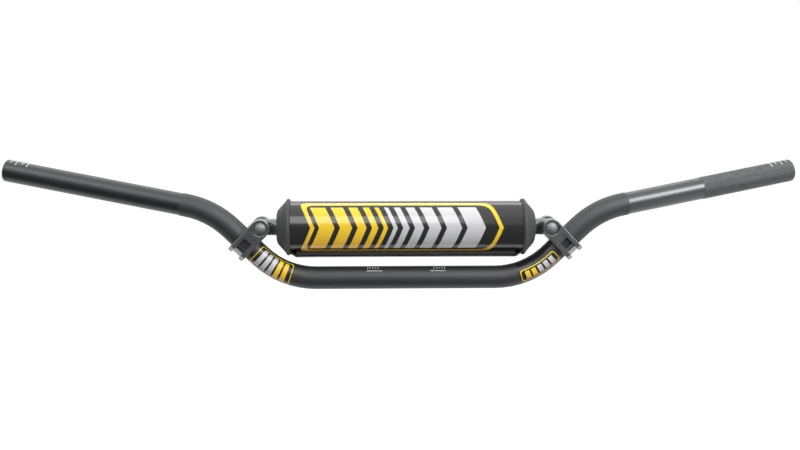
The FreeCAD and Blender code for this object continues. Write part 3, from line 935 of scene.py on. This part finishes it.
@dataclass
class FlatShape:
    """A thin flat shape, cut by lines across and along so that it can bend round the tube."""

    length: float
    width: float
    thickness: float
    corner: float = 0.0
    corner_steps: int = 5
    cut_every: float = 1.0

    def build(self, name: str) -> bpy.types.Object:
        """Model the shape round the origin, with a flat map from 0 to 1 over its length and width.

        Args:
            name: The name for the piece.

        Returns:
            The piece, still flat.
        """
        deselect()
        bpy.ops.mesh.primitive_plane_add(size=1)
        piece = named(name)
        reshape(piece, lambda p: Vector((p.x * self.length, p.y * self.width, 0)) * MM)
        edit(piece, self.round_corners, self.cut_up, self.thicken)
        self.map_flat(piece)
        return piece

    def round_corners(self) -> None:
        """Round the outline's corners."""
        if self.corner:
            bpy.ops.mesh.bevel(offset=self.corner * MM, segments=self.corner_steps, affect="VERTICES")

    def cut_up(self) -> None:
        """Cut the face into cells small enough to bend."""
        for extent, direction in ((self.length, (1, 0, 0)), (self.width, (0, 1, 0))):
            count = max(1, round(extent / self.cut_every))
            for step in range(1, count):
                place = (step / count - 0.5) * extent * MM
                bpy.ops.mesh.select_all(action="SELECT")
                bpy.ops.mesh.bisect(plane_co=Vector(direction) * place, plane_no=direction)

    def thicken(self) -> None:
        """Pull the face up into a thin plate."""
        bpy.ops.mesh.select_all(action="SELECT")
        bpy.ops.mesh.extrude_region_move(TRANSFORM_OT_translate={"value": (0, 0, self.thickness * MM)})
        face_outwards()

    def map_flat(self, piece: bpy.types.Object) -> None:
        """Store each corner's place on the flat shape.

        Args:
            piece: The piece.
        """
        for layer in list(piece.data.uv_layers):
            piece.data.uv_layers.remove(layer)
        layer = piece.data.uv_layers.new(name="flat")
        for loop in piece.data.loops:
            point = piece.data.vertices[loop.vertex_index].co / MM
            layer.data[loop.index].uv = (point.x / self.length + 0.5, point.y / self.width + 0.5)


# Sub-assemblies


@dataclass
class Handlebar:
    """The bent tube with its knurled grip seat and its laser marks."""

    bar: BarPath = field(default_factory=BarPath)
    knurl_columns: int = 112
    knurl_height: float = 0.16
    knurl_sink: float = 0.15
    knurl_run_out: float = 1.2
    bar_end_round: float = 1.6
    mark_width: float = 1.1
    mark_thick: float = 0.03
    mark_step: float = 5.65
    mark_count: int = 4
    long_mark: float = 50.0
    short_mark: float = 37.0
    mark_top: float = 96.0
    ruler_start: float = 25.3
    ruler_gap: float = 2.0
    ruler_run: float = 11.0
    ruler_line: float = 0.8
    ruler_angle: float = 44.0
    tick_count: int = 5
    tick_step: float = 2.5
    tick_width: float = 0.9
    tick_length: float = 3.4
    tick_rise: float = 4.4
    pointer_radius: float = 1.9
    pointer_stretch: tuple[float, float] = (1.2, 0.8)

    def dress_tube(self, nodes: dict[str, bpy.types.Object]) -> None:
        """Give the tube its anodising."""
        dress(nodes, BarAnodising(), "handlebar_tube")

    def build_knurl(self) -> bpy.types.Object:
        """Roll a sheet of small pyramids round the rider's left grip seat.

        Returns:
            The finished piece.
        """
        cell = math.tau * self.bar.knurl_radius / self.knurl_columns
        length = self.bar.seat_run - self.bar.smooth_run - self.bar_end_round
        rows = round(length / cell / 2) * 2
        deselect()
        bpy.ops.mesh.primitive_grid_add(x_subdivisions=rows, y_subdivisions=self.knurl_columns, size=1)
        piece = named("knurled_seat")
        start = self.bar.seat_distance(Side.RIGHT) + self.bar.smooth_run

        def place(point: Vector) -> Vector:
            """Roll a point of the grid round the seat, and raise every other one to a crest.

            Args:
                point: The point of the grid, whose sides are a metre long.

            Returns:
                Its place on the seat.
            """
            row, column = (point.x * MM + 0.5) * rows, (point.y * MM + 0.5) * self.knurl_columns
            along = row / rows * length
            crest = (round(row) + round(column)) % 2 == 0
            fade = min(1.0, along / self.knurl_run_out, (length - along) / self.knurl_run_out)
            radius = self.bar.knurl_radius + (self.knurl_height * max(0.0, fade) if crest else 0.0)
            angle = column / self.knurl_columns * math.tau
            return self.bar.on_surface(Side.RIGHT, start + along, angle, radius)

        reshape(piece, place)
        edit(piece, face_outwards, self.close_ring)
        return hand_over(piece, KnurlAnodising(), smooth_below=1.0)

    def close_ring(self) -> None:
        """Split the cells along their grooves and give the rolled sheet its inner wall."""
        inward = 1 - self.knurl_sink / self.bar.knurl_radius
        along = self.bar.grip(Side.RIGHT)
        across = along.orthogonal().normalized()
        bpy.ops.mesh.quads_convert_to_tris(quad_method="SHORTEST_DIAGONAL", ngon_method="BEAUTY")
        bpy.ops.mesh.select_all(action="DESELECT")
        bpy.ops.mesh.select_non_manifold(extend=False)
        bpy.ops.mesh.extrude_edges_move()
        bpy.ops.transform.resize(
            value=(inward, inward, 1.0),
            orient_type="GLOBAL",
            orient_matrix=Matrix((across, along.cross(across), along)).transposed(),
            orient_matrix_type="GLOBAL",
            constraint_axis=(True, True, False),
            center_override=self.bar.seat_start(Side.RIGHT) * MM,
        )
        bpy.ops.mesh.bridge_edge_loops()
        face_outwards()

    def build_end_marks(self, side: Side) -> bpy.types.Object:
        """Lay the cut marks near one bar end, short and long in turn.

        Args:
            side: The half of the bar.

        Returns:
            The finished marks, as one piece.
        """
        end = self.bar.seat_distance(side) + self.bar.seat_run
        radius = self.bar.seat_radius
        if side is Side.RIGHT:
            radius = self.bar.knurl_radius + self.knurl_height
        marks = []
        for step in range(1, self.mark_count + 1):
            degrees = self.short_mark if step % 2 else self.long_mark
            width = math.radians(degrees) * radius
            mark = FlatShape(self.mark_width, width, self.mark_thick, cut_every=self.mark_width).build("mark")
            middle = math.radians(self.mark_top - degrees / 2)
            self.bar.lay(mark, side, end - step * self.mark_step, middle, radius)
            marks.append(mark)
        return hand_over(join(marks, f"cut_marks_{side.word}"), LaserMark())

    def build_ruler(self, side: Side) -> bpy.types.Object:
        """Lay the scale that shows where the bar sits in its mounts: ticks over a pointed line.

        Args:
            side: The half of the bar.

        Returns:
            The finished scale, as one piece.
        """
        radius, angle = self.bar.tube_radius, math.radians(self.ruler_angle)
        start = self.ruler_start + self.ruler_gap
        line = FlatShape(self.ruler_run, self.ruler_line, self.mark_thick, cut_every=2.0).build("line")
        self.bar.lay(line, side, start + self.ruler_run / 2, angle, radius)
        parts = [line]
        for step in range(self.tick_count):
            shape = FlatShape(self.tick_width, self.tick_length, self.mark_thick, cut_every=self.tick_width)
            tick = shape.build("tick")
            self.bar.lay(tick, side, start + step * self.tick_step, angle + self.tick_rise / radius, radius)
            parts.append(tick)
        deselect()
        bpy.ops.mesh.primitive_circle_add(vertices=3, radius=self.pointer_radius * MM, fill_type="NGON")
        pointer = named("pointer")
        out, up = self.pointer_stretch
        reshape(pointer, lambda p: Vector((-p.y * out, p.x * up, 0)))
        shape = FlatShape(1, 1, self.mark_thick)
        edit(pointer, shape.thicken)
        shape.map_flat(pointer)
        self.bar.lay(pointer, side, self.ruler_start, angle, radius)
        return hand_over(join([*parts, pointer], f"mount_scale_{side.word}"), LaserMark())


@dataclass
class Sticker:
    """The two stickers on the lower bends: a rounded black label with a frame and chevrons.

    The frame's edges are in degrees round the tube, for the left sticker and the right one.
    """

    bar: BarPath = field(default_factory=BarPath)
    past_bend: float = 6.0
    start_angle: float = 17.0
    front_low: float = 62.0
    front_high: float = 66.0
    glue: float = 0.05
    thickness: float = 0.2
    corner: float = 4.0
    frame_low: tuple[float, float] = (-60.0, -43.0)
    frame_high: tuple[float, float] = (63.0, 19.0)
    frame_line: float = 0.9
    frame_inset: float = 1.0
    frame_gap: float = 2.2
    bar_start: float = -13.0
    bar_step: float = 6.6
    bar_width: float = 4.6
    bar_count: int = 5
    yellow_bars: int = 2

    def build(self, side: Side) -> bpy.types.Object:
        """Lay one sticker round the front of the bend.

        Args:
            side: The half of the bar.

        Returns:
            The finished sticker.
        """
        arc = self.bar.lower_radius * math.radians(self.bar.upright_angle - self.start_angle)
        radius = self.bar.tube_radius + self.glue
        length, width = arc + self.past_bend, math.radians(self.front_low + self.front_high) * radius
        piece = FlatShape(length, width, self.thickness, corner=self.corner).build(f"sticker_{side.word}")
        bend_end = self.bar.centre_run / 2 + self.bar.lower_radius * math.radians(self.bar.upright_angle)
        middle = math.radians((self.front_high - self.front_low) / 2)
        self.bar.lay(piece, side, bend_end + self.past_bend - length / 2, middle, radius)
        which = list(Side).index(side)
        low = (math.radians(self.frame_low[which]) - middle) * radius
        high = (math.radians(self.frame_high[which]) - middle) * radius
        # Its inks darken towards the lower edge of the frame: partly printed gradient, partly painted shade.
        finish = RacingPrint(
            name=f"printed_film_{side.word}",
            colour="#1b1b1c",
            roughness=0.3,
            map_width=length,
            map_height=width,
            frame_reach=length / 2 - self.frame_inset,
            frame_low=low,
            frame_high=high,
            frame_line=self.frame_line,
            frame_round=self.corner,
            lean=0.0,
            bars=tuple(
                (self.bar_start + number * self.bar_step, self.bar_width, number < self.yellow_bars)
                for number in range(self.bar_count)
            ),
            bar_low=low + self.frame_gap,
            bar_high=high - self.frame_gap,
            raster=0.4,
        )
        return hand_over(piece, finish, replaces=(f"decal_{side.word}",))


@dataclass
class CrossbarPad:
    """The pad on the crossbar: a foam roll in a wrapped cover whose flap closes along the bottom.

    Angles are in degrees round the crossbar, from the rear towards the top. Each of the waves has
    its length in millimetres and in degrees, its seed and its depth.
    """

    centre_height: float = 49.63
    half_length: float = 111.26
    inner_radius: float = 24.2
    sheet: float = 0.8
    tapes: float = 3.8
    under_end: float = 300.0
    blend_start: float = -38.0
    blend_end: float = -56.0
    flap_end: float = -123.0
    flap_corner: float = 4.0
    tape_end: float = 105.6
    pressed_depth: float = 2.7
    waves: tuple[tuple[float, float, float, float], ...] = ((38, 48, 3.1, 0.1), (15, 26, 7.7, 0.035))
    columns: int = 150
    rows: int = 210
    chevron_start: float = -83.6
    chevron_gap: float = 5.2
    yellow_chevrons: tuple[float, ...] = (14.5, 11.5, 8.5, 6.0, 4.0)
    silver_chevrons: tuple[float, ...] = (4.0, 6.0, 8.5, 11.5, 14.5, 17.5)
    foam_bore: float = 8.2
    foam_core: float = 20.8
    foam_skin: float = 24.0
    foam_shoulder: float = 103.76
    foam_slit: float = 2.4
    foam_sides: int = 60
    stitch_pitch: float = 3.0
    stitch_length: float = 2.3
    stitch_radius: float = 0.28
    stitch_margin: float = 5.0
    stitch_rows: tuple[float, ...] = (-119.0, -66.0)

    def radius_at(self, degrees: float) -> float:
        """Return the radius of the sheet's middle at an angle along the wrap."""
        low, high = self.inner_radius + self.sheet / 2, self.inner_radius + self.sheet * 1.5 + self.tapes
        return low + (high - low) * ease((self.blend_start - degrees) / (self.blend_start - self.blend_end))

    def around(self, along: float, degrees: float, radius: float) -> Vector:
        """Return a point about the crossbar, by its angle from the rear towards the top."""
        angle = math.radians(degrees)
        return Vector((along, radius * math.cos(angle), self.centre_height + radius * math.sin(angle)))

    def on_wrap(self, point: Vector) -> Vector:
        """Put a point of the flat sheet on the wrap.

        Args:
            point: The point of the grid, whose sides are a metre long.

        Returns:
            Its place, with the flap's corners rounded and its ends pressed down past the tape.
        """
        across, up = point.x * MM * 2 * self.half_length, point.y * MM + 0.5
        degrees = self.under_end - up * (self.under_end - self.flap_end)
        radius = self.radius_at(degrees)
        to_edge = math.radians(degrees - self.flap_end) * radius
        if to_edge < self.flap_corner:
            kept = math.sqrt(max(0.0, self.flap_corner**2 - (self.flap_corner - to_edge) ** 2))
            inner = self.half_length - self.flap_corner
            if abs(across) > inner:
                across = math.copysign(inner + (abs(across) - inner) * kept / self.flap_corner, across)
        flap = (radius - self.inner_radius - self.sheet / 2) / (self.sheet + self.tapes)
        past_tape = (abs(across) - self.tape_end) / (self.half_length - self.tape_end)
        radius -= flap * self.pressed_depth * ease(past_tape)
        for length, turn, seed, depth in self.waves:
            radius += noise.noise(Vector((across / length, degrees / turn, seed))) * depth
        return self.around(across, degrees, radius)

    def build_cover(self) -> bpy.types.Object:
        """Wrap a flat sheet round the foam and out over the closure.

        Returns:
            The finished cover.
        """
        deselect()
        bpy.ops.mesh.primitive_grid_add(x_subdivisions=self.columns, y_subdivisions=self.rows, size=1)
        piece = named("wrapped_cover")
        piece.data.uv_layers[0].name = "flat"
        reshape(piece, self.on_wrap)
        turn = self.under_end - self.flap_end
        finish = RacingPrint(
            name="coated_vinyl_printed",
            colour="#202021",
            roughness=0.135,
            map_width=2 * self.half_length,
            map_height=math.radians(turn) * (self.inner_radius + self.sheet / 2),
            map_zero=(self.under_end - 180.0) / turn,
            frame_reach=92.0,
            frame_low=-26.8,
            frame_high=30.6,
            frame_line=4.0,
            frame_round=14.0,
            lean=0.42,
            bars=self.chevrons(),
            bar_low=-20.4,
            bar_high=23.4,
        )
        for one in (finish, Finish(name="vinyl_cut_edge", colour="#1a1a1b", roughness=0.9)):
            piece.data.materials.append(one.material())
        modify(piece, "SOLIDIFY", thickness=self.sheet * MM, offset=0.0, material_offset_rim=1)
        edit(piece, face_outwards)
        return hand_over(piece, finish, replaces=("pad_cover",), smooth_below=35.0)

    def chevrons(self) -> tuple[tuple[float, float, bool], ...]:
        """List the chevrons, wide at both ends of the pad and narrow in the middle.

        Returns:
            The middle and the width of each, and whether it is yellow.
        """
        placed, place = [], self.chevron_start
        for widths, is_yellow in ((self.yellow_chevrons, True), (self.silver_chevrons, False)):
            for width in widths:
                placed.append((place + width / 2, width, is_yellow))
                place += width + self.chevron_gap
        return tuple(placed)

    def build_foam(self) -> bpy.types.Object:
        """Spin the foam's section round the crossbar, short of a full turn by its slit.

        Returns:
            The finished roll.
        """
        along = (-self.half_length, -self.foam_shoulder, self.foam_shoulder, self.half_length)
        out = (self.foam_bore, self.foam_core, self.foam_skin)
        columns, rows = len(along) - 1, len(out) - 1
        deselect()
        bpy.ops.mesh.primitive_grid_add(x_subdivisions=columns, y_subdivisions=rows, size=1)
        piece = named("foam_roll")

        def place(point: Vector) -> Vector:
            """Put a point of the grid on the section, which lies level behind the crossbar's line."""
            column, row = round((point.x * MM + 0.5) * columns), round((point.y * MM + 0.5) * rows)
            return Vector((along[column], out[row], self.centre_height))

        reshape(piece, place)
        edit(piece, self.cut_foam_ends, self.spin_foam)
        return hand_over(piece, Foam(), replaces=("pad_foam",))

    def cut_foam_ends(self) -> None:
        """Cut the section's outer corners away, where the caps' skirts go, and join the rest."""
        end = (self.foam_shoulder + self.half_length) / 2 * MM
        rear = (self.foam_core + self.foam_skin) / 2 * MM
        bpy.ops.mesh.select_all(action="DESELECT")
        bpy.ops.object.mode_set(mode="OBJECT")
        for point in bpy.context.object.data.vertices:
            point.select = abs(point.co.x) > end and point.co.y > rear
        bpy.ops.object.mode_set(mode="EDIT")
        bpy.ops.mesh.delete(type="VERT")
        bpy.ops.mesh.select_all(action="SELECT")
        bpy.ops.mesh.dissolve_limited()

    def spin_foam(self) -> None:
        """Spin the section round the crossbar."""
        centre, angle = (0, 0, self.centre_height * MM), math.radians(360 - self.foam_slit)
        bpy.ops.mesh.spin(steps=self.foam_sides, angle=angle, center=centre, axis=(1, 0, 0))
        face_outwards()

    def build_stitching(self) -> bpy.types.Object:
        """Sew the tape to the flap: rows of small stitches along its two edges.

        Returns:
            The finished stitches, as one piece.
        """
        count = int(2 * (self.half_length - self.stitch_margin) / self.stitch_pitch)
        along = Vector((1, 0, 0))
        first = -self.stitch_pitch * (count - 1) / 2
        rows = []
        for degrees in self.stitch_rows:
            deselect()
            bpy.ops.mesh.primitive_uv_sphere_add(segments=8, ring_count=6, radius=1)
            stitch = named("stitch")
            foot = self.around(first, degrees, self.radius_at(degrees) + self.sheet / 2)
            outward = (foot - Vector((first, 0, self.centre_height))).normalized()
            sideways = outward.cross(along)
            half_sizes = (self.stitch_length / 2, self.stitch_radius, self.stitch_radius)
            axes = [axis * half for axis, half in zip((along, sideways, outward), half_sizes, strict=True)]
            reshape(stitch, lambda p: foot + Matrix(axes).transposed() @ (p * MM))
            offset = (self.stitch_pitch * MM, 0, 0)
            settings = {"count": count, "use_relative_offset": False, "use_constant_offset": True}
            modify(stitch, "ARRAY", **settings, constant_offset_displace=offset)
            rows.append(stitch)
        return hand_over(join(rows, "flap_stitching"), SewingThread())


@dataclass
class Clamp:
    """The two clamps, whose cast pockets have softly broken edges.

    Lengths that count as the same differ by less than the field called same.
    """

    bar: BarPath = field(default_factory=BarPath)
    station: float = 18.8
    half_depth: float = 16.4
    toe_reach: float = 14.4
    toe_slope: float = 4.4
    pocket_half: float = 4.4
    strap_radius: float = 14.3
    shelf_top: float = 9.2
    square_half: float = 4.1
    recess_spread: float = 4.4
    recess_sink: float = 0.1
    break_width: float = 0.45
    same: float = 0.02

    def build(self, nodes: dict[str, bpy.types.Object], side: Side) -> bpy.types.Object:
        """Copy a clamp's solid, join its faces, break the edges of its pockets and give its recess painted
        shade.

        Args:
            nodes: The frame's solids by name.
            side: The half of the bar.

        Returns:
            The finished clamp.
        """
        solid = nodes[f"clamp_{side.word}"]
        piece = solid.copy()
        piece.data = solid.data.copy()
        piece.name = piece.data.name = f"cast_clamp_{side.word}"
        piece.data.materials.clear()
        bpy.context.scene.collection.objects.link(piece)
        edit(piece, face_outwards, self.join_flat_faces)
        self.select_pocket_edges(piece, side)
        take(piece)
        bpy.ops.object.mode_set(mode="EDIT")
        bpy.ops.mesh.bevel(offset=self.break_width * MM, segments=3, clamp_overlap=True)
        bpy.ops.object.mode_set(mode="OBJECT")
        # Faces inside the square recess and the slot get the near-black coat, which is painted shade.
        for coat in (FlakePaint(), RecessShadePaint()):
            piece.data.materials.append(coat.material())
        for face in piece.data.polygons:
            face.material_index = self.in_recess(self.local(face.center, side))
        hand_over(piece, FlakePaint(), replaces=(solid.name,), smooth_below=32.0)
        modify(piece, "WEIGHTED_NORMAL", keep_sharp=True, weight=100)
        return piece

    def join_flat_faces(self) -> None:
        """Join the triangles that lie in one plane."""
        bpy.ops.mesh.customdata_custom_splitnormals_clear()
        bpy.ops.mesh.select_all(action="SELECT")
        bpy.ops.mesh.dissolve_limited(angle_limit=math.radians(0.3))

    def select_pocket_edges(self, piece: bpy.types.Object, side: Side) -> None:
        """Select the outer edges of the hollow between the flanges and of the square recess.

        Args:
            piece: The clamp's copy.
            side: The half of the bar.
        """
        mesh = piece.data
        places = [self.local(point.co, side) for point in mesh.vertices]
        rim = {index for index, place in enumerate(places) if self.on_rim(*place)}
        steps = {index for index, place in enumerate(places) if self.on_step(*place)}
        for group in (mesh.vertices, mesh.polygons):
            group.foreach_set("select", [False] * len(group))
        chosen = 0
        for edge in mesh.edges:
            edge.select = any(set(edge.vertices) <= group for group in (rim, steps))
            chosen += edge.select
        LOG.info("%s: %d pocket edges", piece.name, chosen)

    def local(self, point: Vector, side: Side) -> tuple[float, float, float]:
        """Find a point from the clamp's centre.

        Args:
            point: The point, in metres in the part's frame.
            side: The half of the bar.

        Returns:
            How far it is along the tube, in depth and towards the pivot, in millimetres. The first
            two have no sign, because the clamp is the same both ways.
        """
        lower = self.bar.lower_radius * math.radians(self.bar.upright_angle)
        centre, along = self.bar.point(side, self.bar.centre_run / 2 + lower + self.station)
        inward = Vector((-along.z * side.value, 0, along.x * side.value))
        place = point / MM - centre
        return abs(place.dot(along)), abs(place.y), place.dot(inward)

    def on_rim(self, across: float, depth: float, height: float) -> bool:
        """Tell whether a point is on the outer edge of the hollow.

        Args:
            across: How far it is along the tube from the clamp's centre.
            depth: How far it is in depth.
            height: How far it is towards the pivot.

        Returns:
            Whether it is.
        """
        if abs(across - self.pocket_half) > self.same or height > self.shelf_top + self.same:
            return False
        past_slope = depth - height - (self.half_depth + self.toe_reach - self.toe_slope)
        return abs(max(depth - self.half_depth, -height - self.toe_reach, past_slope)) < self.same

    def on_step(self, across: float, depth: float, height: float) -> bool:
        """Tell whether a point is on an edge of the strap over or under the square recess.

        Args:
            across: How far it is along the tube from the clamp's centre.
            depth: How far it is in depth.
            height: How far it is towards the pivot.

        Returns:
            Whether it is.
        """
        level = abs(abs(height) - self.square_half)
        on_strap = abs(math.hypot(depth, height) - self.strap_radius) < self.same
        return across < self.pocket_half + self.same and level < self.same and on_strap

    def in_recess(self, place: tuple[float, float, float]) -> bool:
        """Tell whether a face lies inside the square recess or the slot.

        Args:
            place: Its middle, from the clamp's centre.

        Returns:
            Whether it does.
        """
        across, depth, height = place
        reach = math.hypot(depth, height)
        between = across < self.pocket_half + self.same and depth > 2 * abs(height) - self.recess_spread
        return between and self.bar.tube_radius < reach < self.strap_radius - self.recess_sink


@dataclass
class Fasteners:
    """The bolts, nuts and washers, the crossbar, its pad's caps and the cover's tapes."""

    hooks: FastenerTape = FastenerTape(name="hook_tape", pitch=1.4, depth=0.35)
    loops: FastenerTape = FastenerTape(name="loop_tape", pitch=1.0, depth=0.2, colour="#222223")

    def dress_all(self, nodes: dict[str, bpy.types.Object]) -> None:
        """Give each carried-over piece its metal, coat or plastic.

        Args:
            nodes: The frame's solids by name.
        """
        for side in Side:
            word = side.word
            dress(nodes, DarkZinc(), f"pivot_bolt_{word}")
            dress(nodes, BrightZinc(), f"washer_{word}", f"lock_nut_{word}")
            dress(nodes, Nylon(), f"lock_insert_{word}")
            dress(nodes, TurnedAnodising(), f"crossbar_end_{word}")
            dress(nodes, PebbledRubber(), f"pad_end_cap_{word}")
        dress(nodes, TurnedAnodising(), "crossbar_tube")
        dress(nodes, self.hooks, "closure_hook_strip")
        dress(nodes, self.loops, "closure_loop_strip")


@dataclass
class Lamp:
    """A soft lamp: where it hangs and what it faces in millimetres, its size and its watts."""

    name: str
    place: tuple[float, float, float]
    aim: tuple[float, float, float]
    size: tuple[float, float]
    power: float

    def hang(self) -> None:
        """Hang the lamp."""
        deselect()
        bpy.ops.object.light_add(type="AREA", location=Vector(self.place) * MM)
        lamp = bpy.context.object
        lamp.name = self.name
        lamp.data.shape = "RECTANGLE"
        lamp.data.size, lamp.data.size_y = self.size[0] * MM, self.size[1] * MM
        lamp.data.energy = self.power
        lamp.rotation_euler = (Vector(self.aim) - Vector(self.place)).to_track_quat("-Z", "Y").to_euler()


@dataclass
class Studio:
    """A white sweep, soft lamps all round, a grey flag in front and the photograph's camera.

    The flag's sides are given by their X, and its foot and its head by their Y and Z.
    """

    floor_drop: float = 600.0
    floor_size: float = 12000.0
    floor_glow: float = 0.82
    fill: float = 0.27
    flag_sides: tuple[float, float] = (-2200.0, 600.0)
    flag_foot: tuple[float, float] = (-110.0, -560.0)
    flag_head: tuple[float, float] = (-1500.0, 380.0)
    target: tuple[float, float, float] = (-5.86, 0.0, 51.35)
    distance: float = 1100.0
    elevation: float = 7.0
    yaw: float = 2.75
    roll: float = 0.18
    lens: float = 51.01
    sensor: float = 36.0
    lamps: tuple[Lamp, ...] = (
        Lamp("front_soft_box", (-35, -1000, 850), (0, 0, 50), (450, 700), 4.5),
        Lamp("right_soft_box", (925, -1000, 840), (260, 0, 80), (500, 700), 17.0),
        Lamp("left_soft_box", (-1050, -1000, 1200), (-300, 0, 80), (500, 600), 5.5),
        Lamp("rear_soft_box", (0, 900, 1150), (0, 0, 60), (2600, 600), 12.0),
        Lamp("top_soft_box", (0, -250, 1300), (0, -250, 0), (2400, 1500), 8.5),
    )

    def build_camera(self) -> None:
        """Set the camera up where the photograph was taken from."""
        yaw, down = math.radians(self.yaw), math.radians(self.elevation)
        forward = Vector((math.sin(yaw) * math.cos(down), math.cos(yaw) * math.cos(down), -math.sin(down)))
        right = forward.cross(Vector((0, 0, 1))).normalized()
        right = Quaternion(forward, math.radians(-self.roll)) @ right
        up = right.cross(forward)
        place = (Vector(self.target) - forward * self.distance) * MM
        turn = Matrix((right, up, -forward)).transposed()
        deselect()
        bpy.ops.object.camera_add(location=place, rotation=turn.to_euler())
        camera = bpy.context.object
        camera.data.sensor_width = self.sensor
        camera.data.lens = self.lens
        camera.data.clip_start, camera.data.clip_end = 0.05, 50.0
        bpy.context.scene.camera = camera

    def seen(self, tree: Tree) -> Socket:
        """Tell the rays that show the background.

        Args:
            tree: The floor's or the world's tree.

        Returns:
            1 for the camera's rays, the mirrored ones and those that passed through, otherwise 0.
        """
        rays = add_node(tree, "ShaderNodeLightPath").outputs
        known = {name: rays[f"Is {name} Ray"] for name in ("Camera", "Glossy", "Transmission")}
        steps = {"outside": ("MAXIMUM", "Camera", "Glossy"), "seen": ("MAXIMUM", "outside", "Transmission")}
        return work_out(tree, known, steps)["seen"]

    def build_floor(self) -> None:
        """Lay the pale floor, which glows a little so that it is white outside the shadow."""
        deselect()
        bpy.ops.mesh.primitive_plane_add(size=self.floor_size * MM, location=(0, 0, -self.floor_drop * MM))
        floor = named("floor")
        paint = bpy.data.materials.new("white_sweep")
        paint.use_nodes = True
        tree = paint.node_tree
        tree.nodes.clear()
        steps = {"glow": ("MULTIPLY", "seen", self.floor_glow)}
        glow = work_out(tree, {"seen": self.seen(tree)}, steps)["glow"]
        diffuse = add_node(tree, "ShaderNodeBsdfDiffuse", {"Color": linear("#e9e9e9")})
        shine = add_node(tree, "ShaderNodeEmission", {"Color": linear("#ffffff"), "Strength": glow})
        both = add_node(tree, "ShaderNodeAddShader", {0: diffuse.outputs[0], 1: shine.outputs[0]})
        add_node(tree, "ShaderNodeOutputMaterial", {"Surface": both.outputs[0]})
        floor.data.materials.append(paint)

    def build_flag(self) -> None:
        """Hang a grey flag that only shows in what shines."""
        deselect()
        bpy.ops.mesh.primitive_plane_add(size=1)
        flag = named("front_flag")
        ends = (self.flag_foot, self.flag_head)
        reshape(flag, lambda p: Vector((self.flag_sides[p.x > 0], *ends[p.y > 0])))
        flag.data.materials.append(Finish(name="grey_cloth", colour="#787878", roughness=1.0).material())
        flag.visible_camera = flag.visible_diffuse = flag.visible_shadow = False

    def build_world(self) -> None:
        """Surround the object with a white room that lights it at a plain level."""
        world = bpy.data.worlds.new("white_room")
        bpy.context.scene.world = world
        world.use_nodes = True
        tree = world.node_tree
        tree.nodes.clear()
        steps = {"strength": ("MAXIMUM", "seen", self.fill)}
        strength = work_out(tree, {"seen": self.seen(tree)}, steps)["strength"]
        light = add_node(tree, "ShaderNodeBackground", {"Color": linear("#ffffff"), "Strength": strength})
        add_node(tree, "ShaderNodeOutputWorld", {"Surface": light.outputs[0]})

    def build(self) -> None:
        """Set up the whole studio."""
        self.build_floor()
        self.build_world()
        self.build_flag()
        for lamp in self.lamps:
            lamp.hang()
        self.build_camera()
        bpy.context.scene.view_settings.view_transform = "Standard"


def main() -> None:
    """Load the frame, build each sub-assembly on it and set up the studio."""
    logging.basicConfig(level=logging.INFO, format="%(name)s: %(message)s")
    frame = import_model()
    nodes = frame["nodes"]
    handlebar = Handlebar()
    handlebar.dress_tube(nodes)
    handlebar.build_knurl()
    sticker, clamp = Sticker(), Clamp()
    for side in Side:
        handlebar.build_end_marks(side)
        handlebar.build_ruler(side)
        sticker.build(side)
        clamp.build(nodes, side)
    Fasteners().dress_all(nodes)
    crossbar_pad = CrossbarPad()
    crossbar_pad.build_foam()
    crossbar_pad.build_cover()
    crossbar_pad.build_stitching()
    Studio().build()


if __name__ == "__main__":
    main()
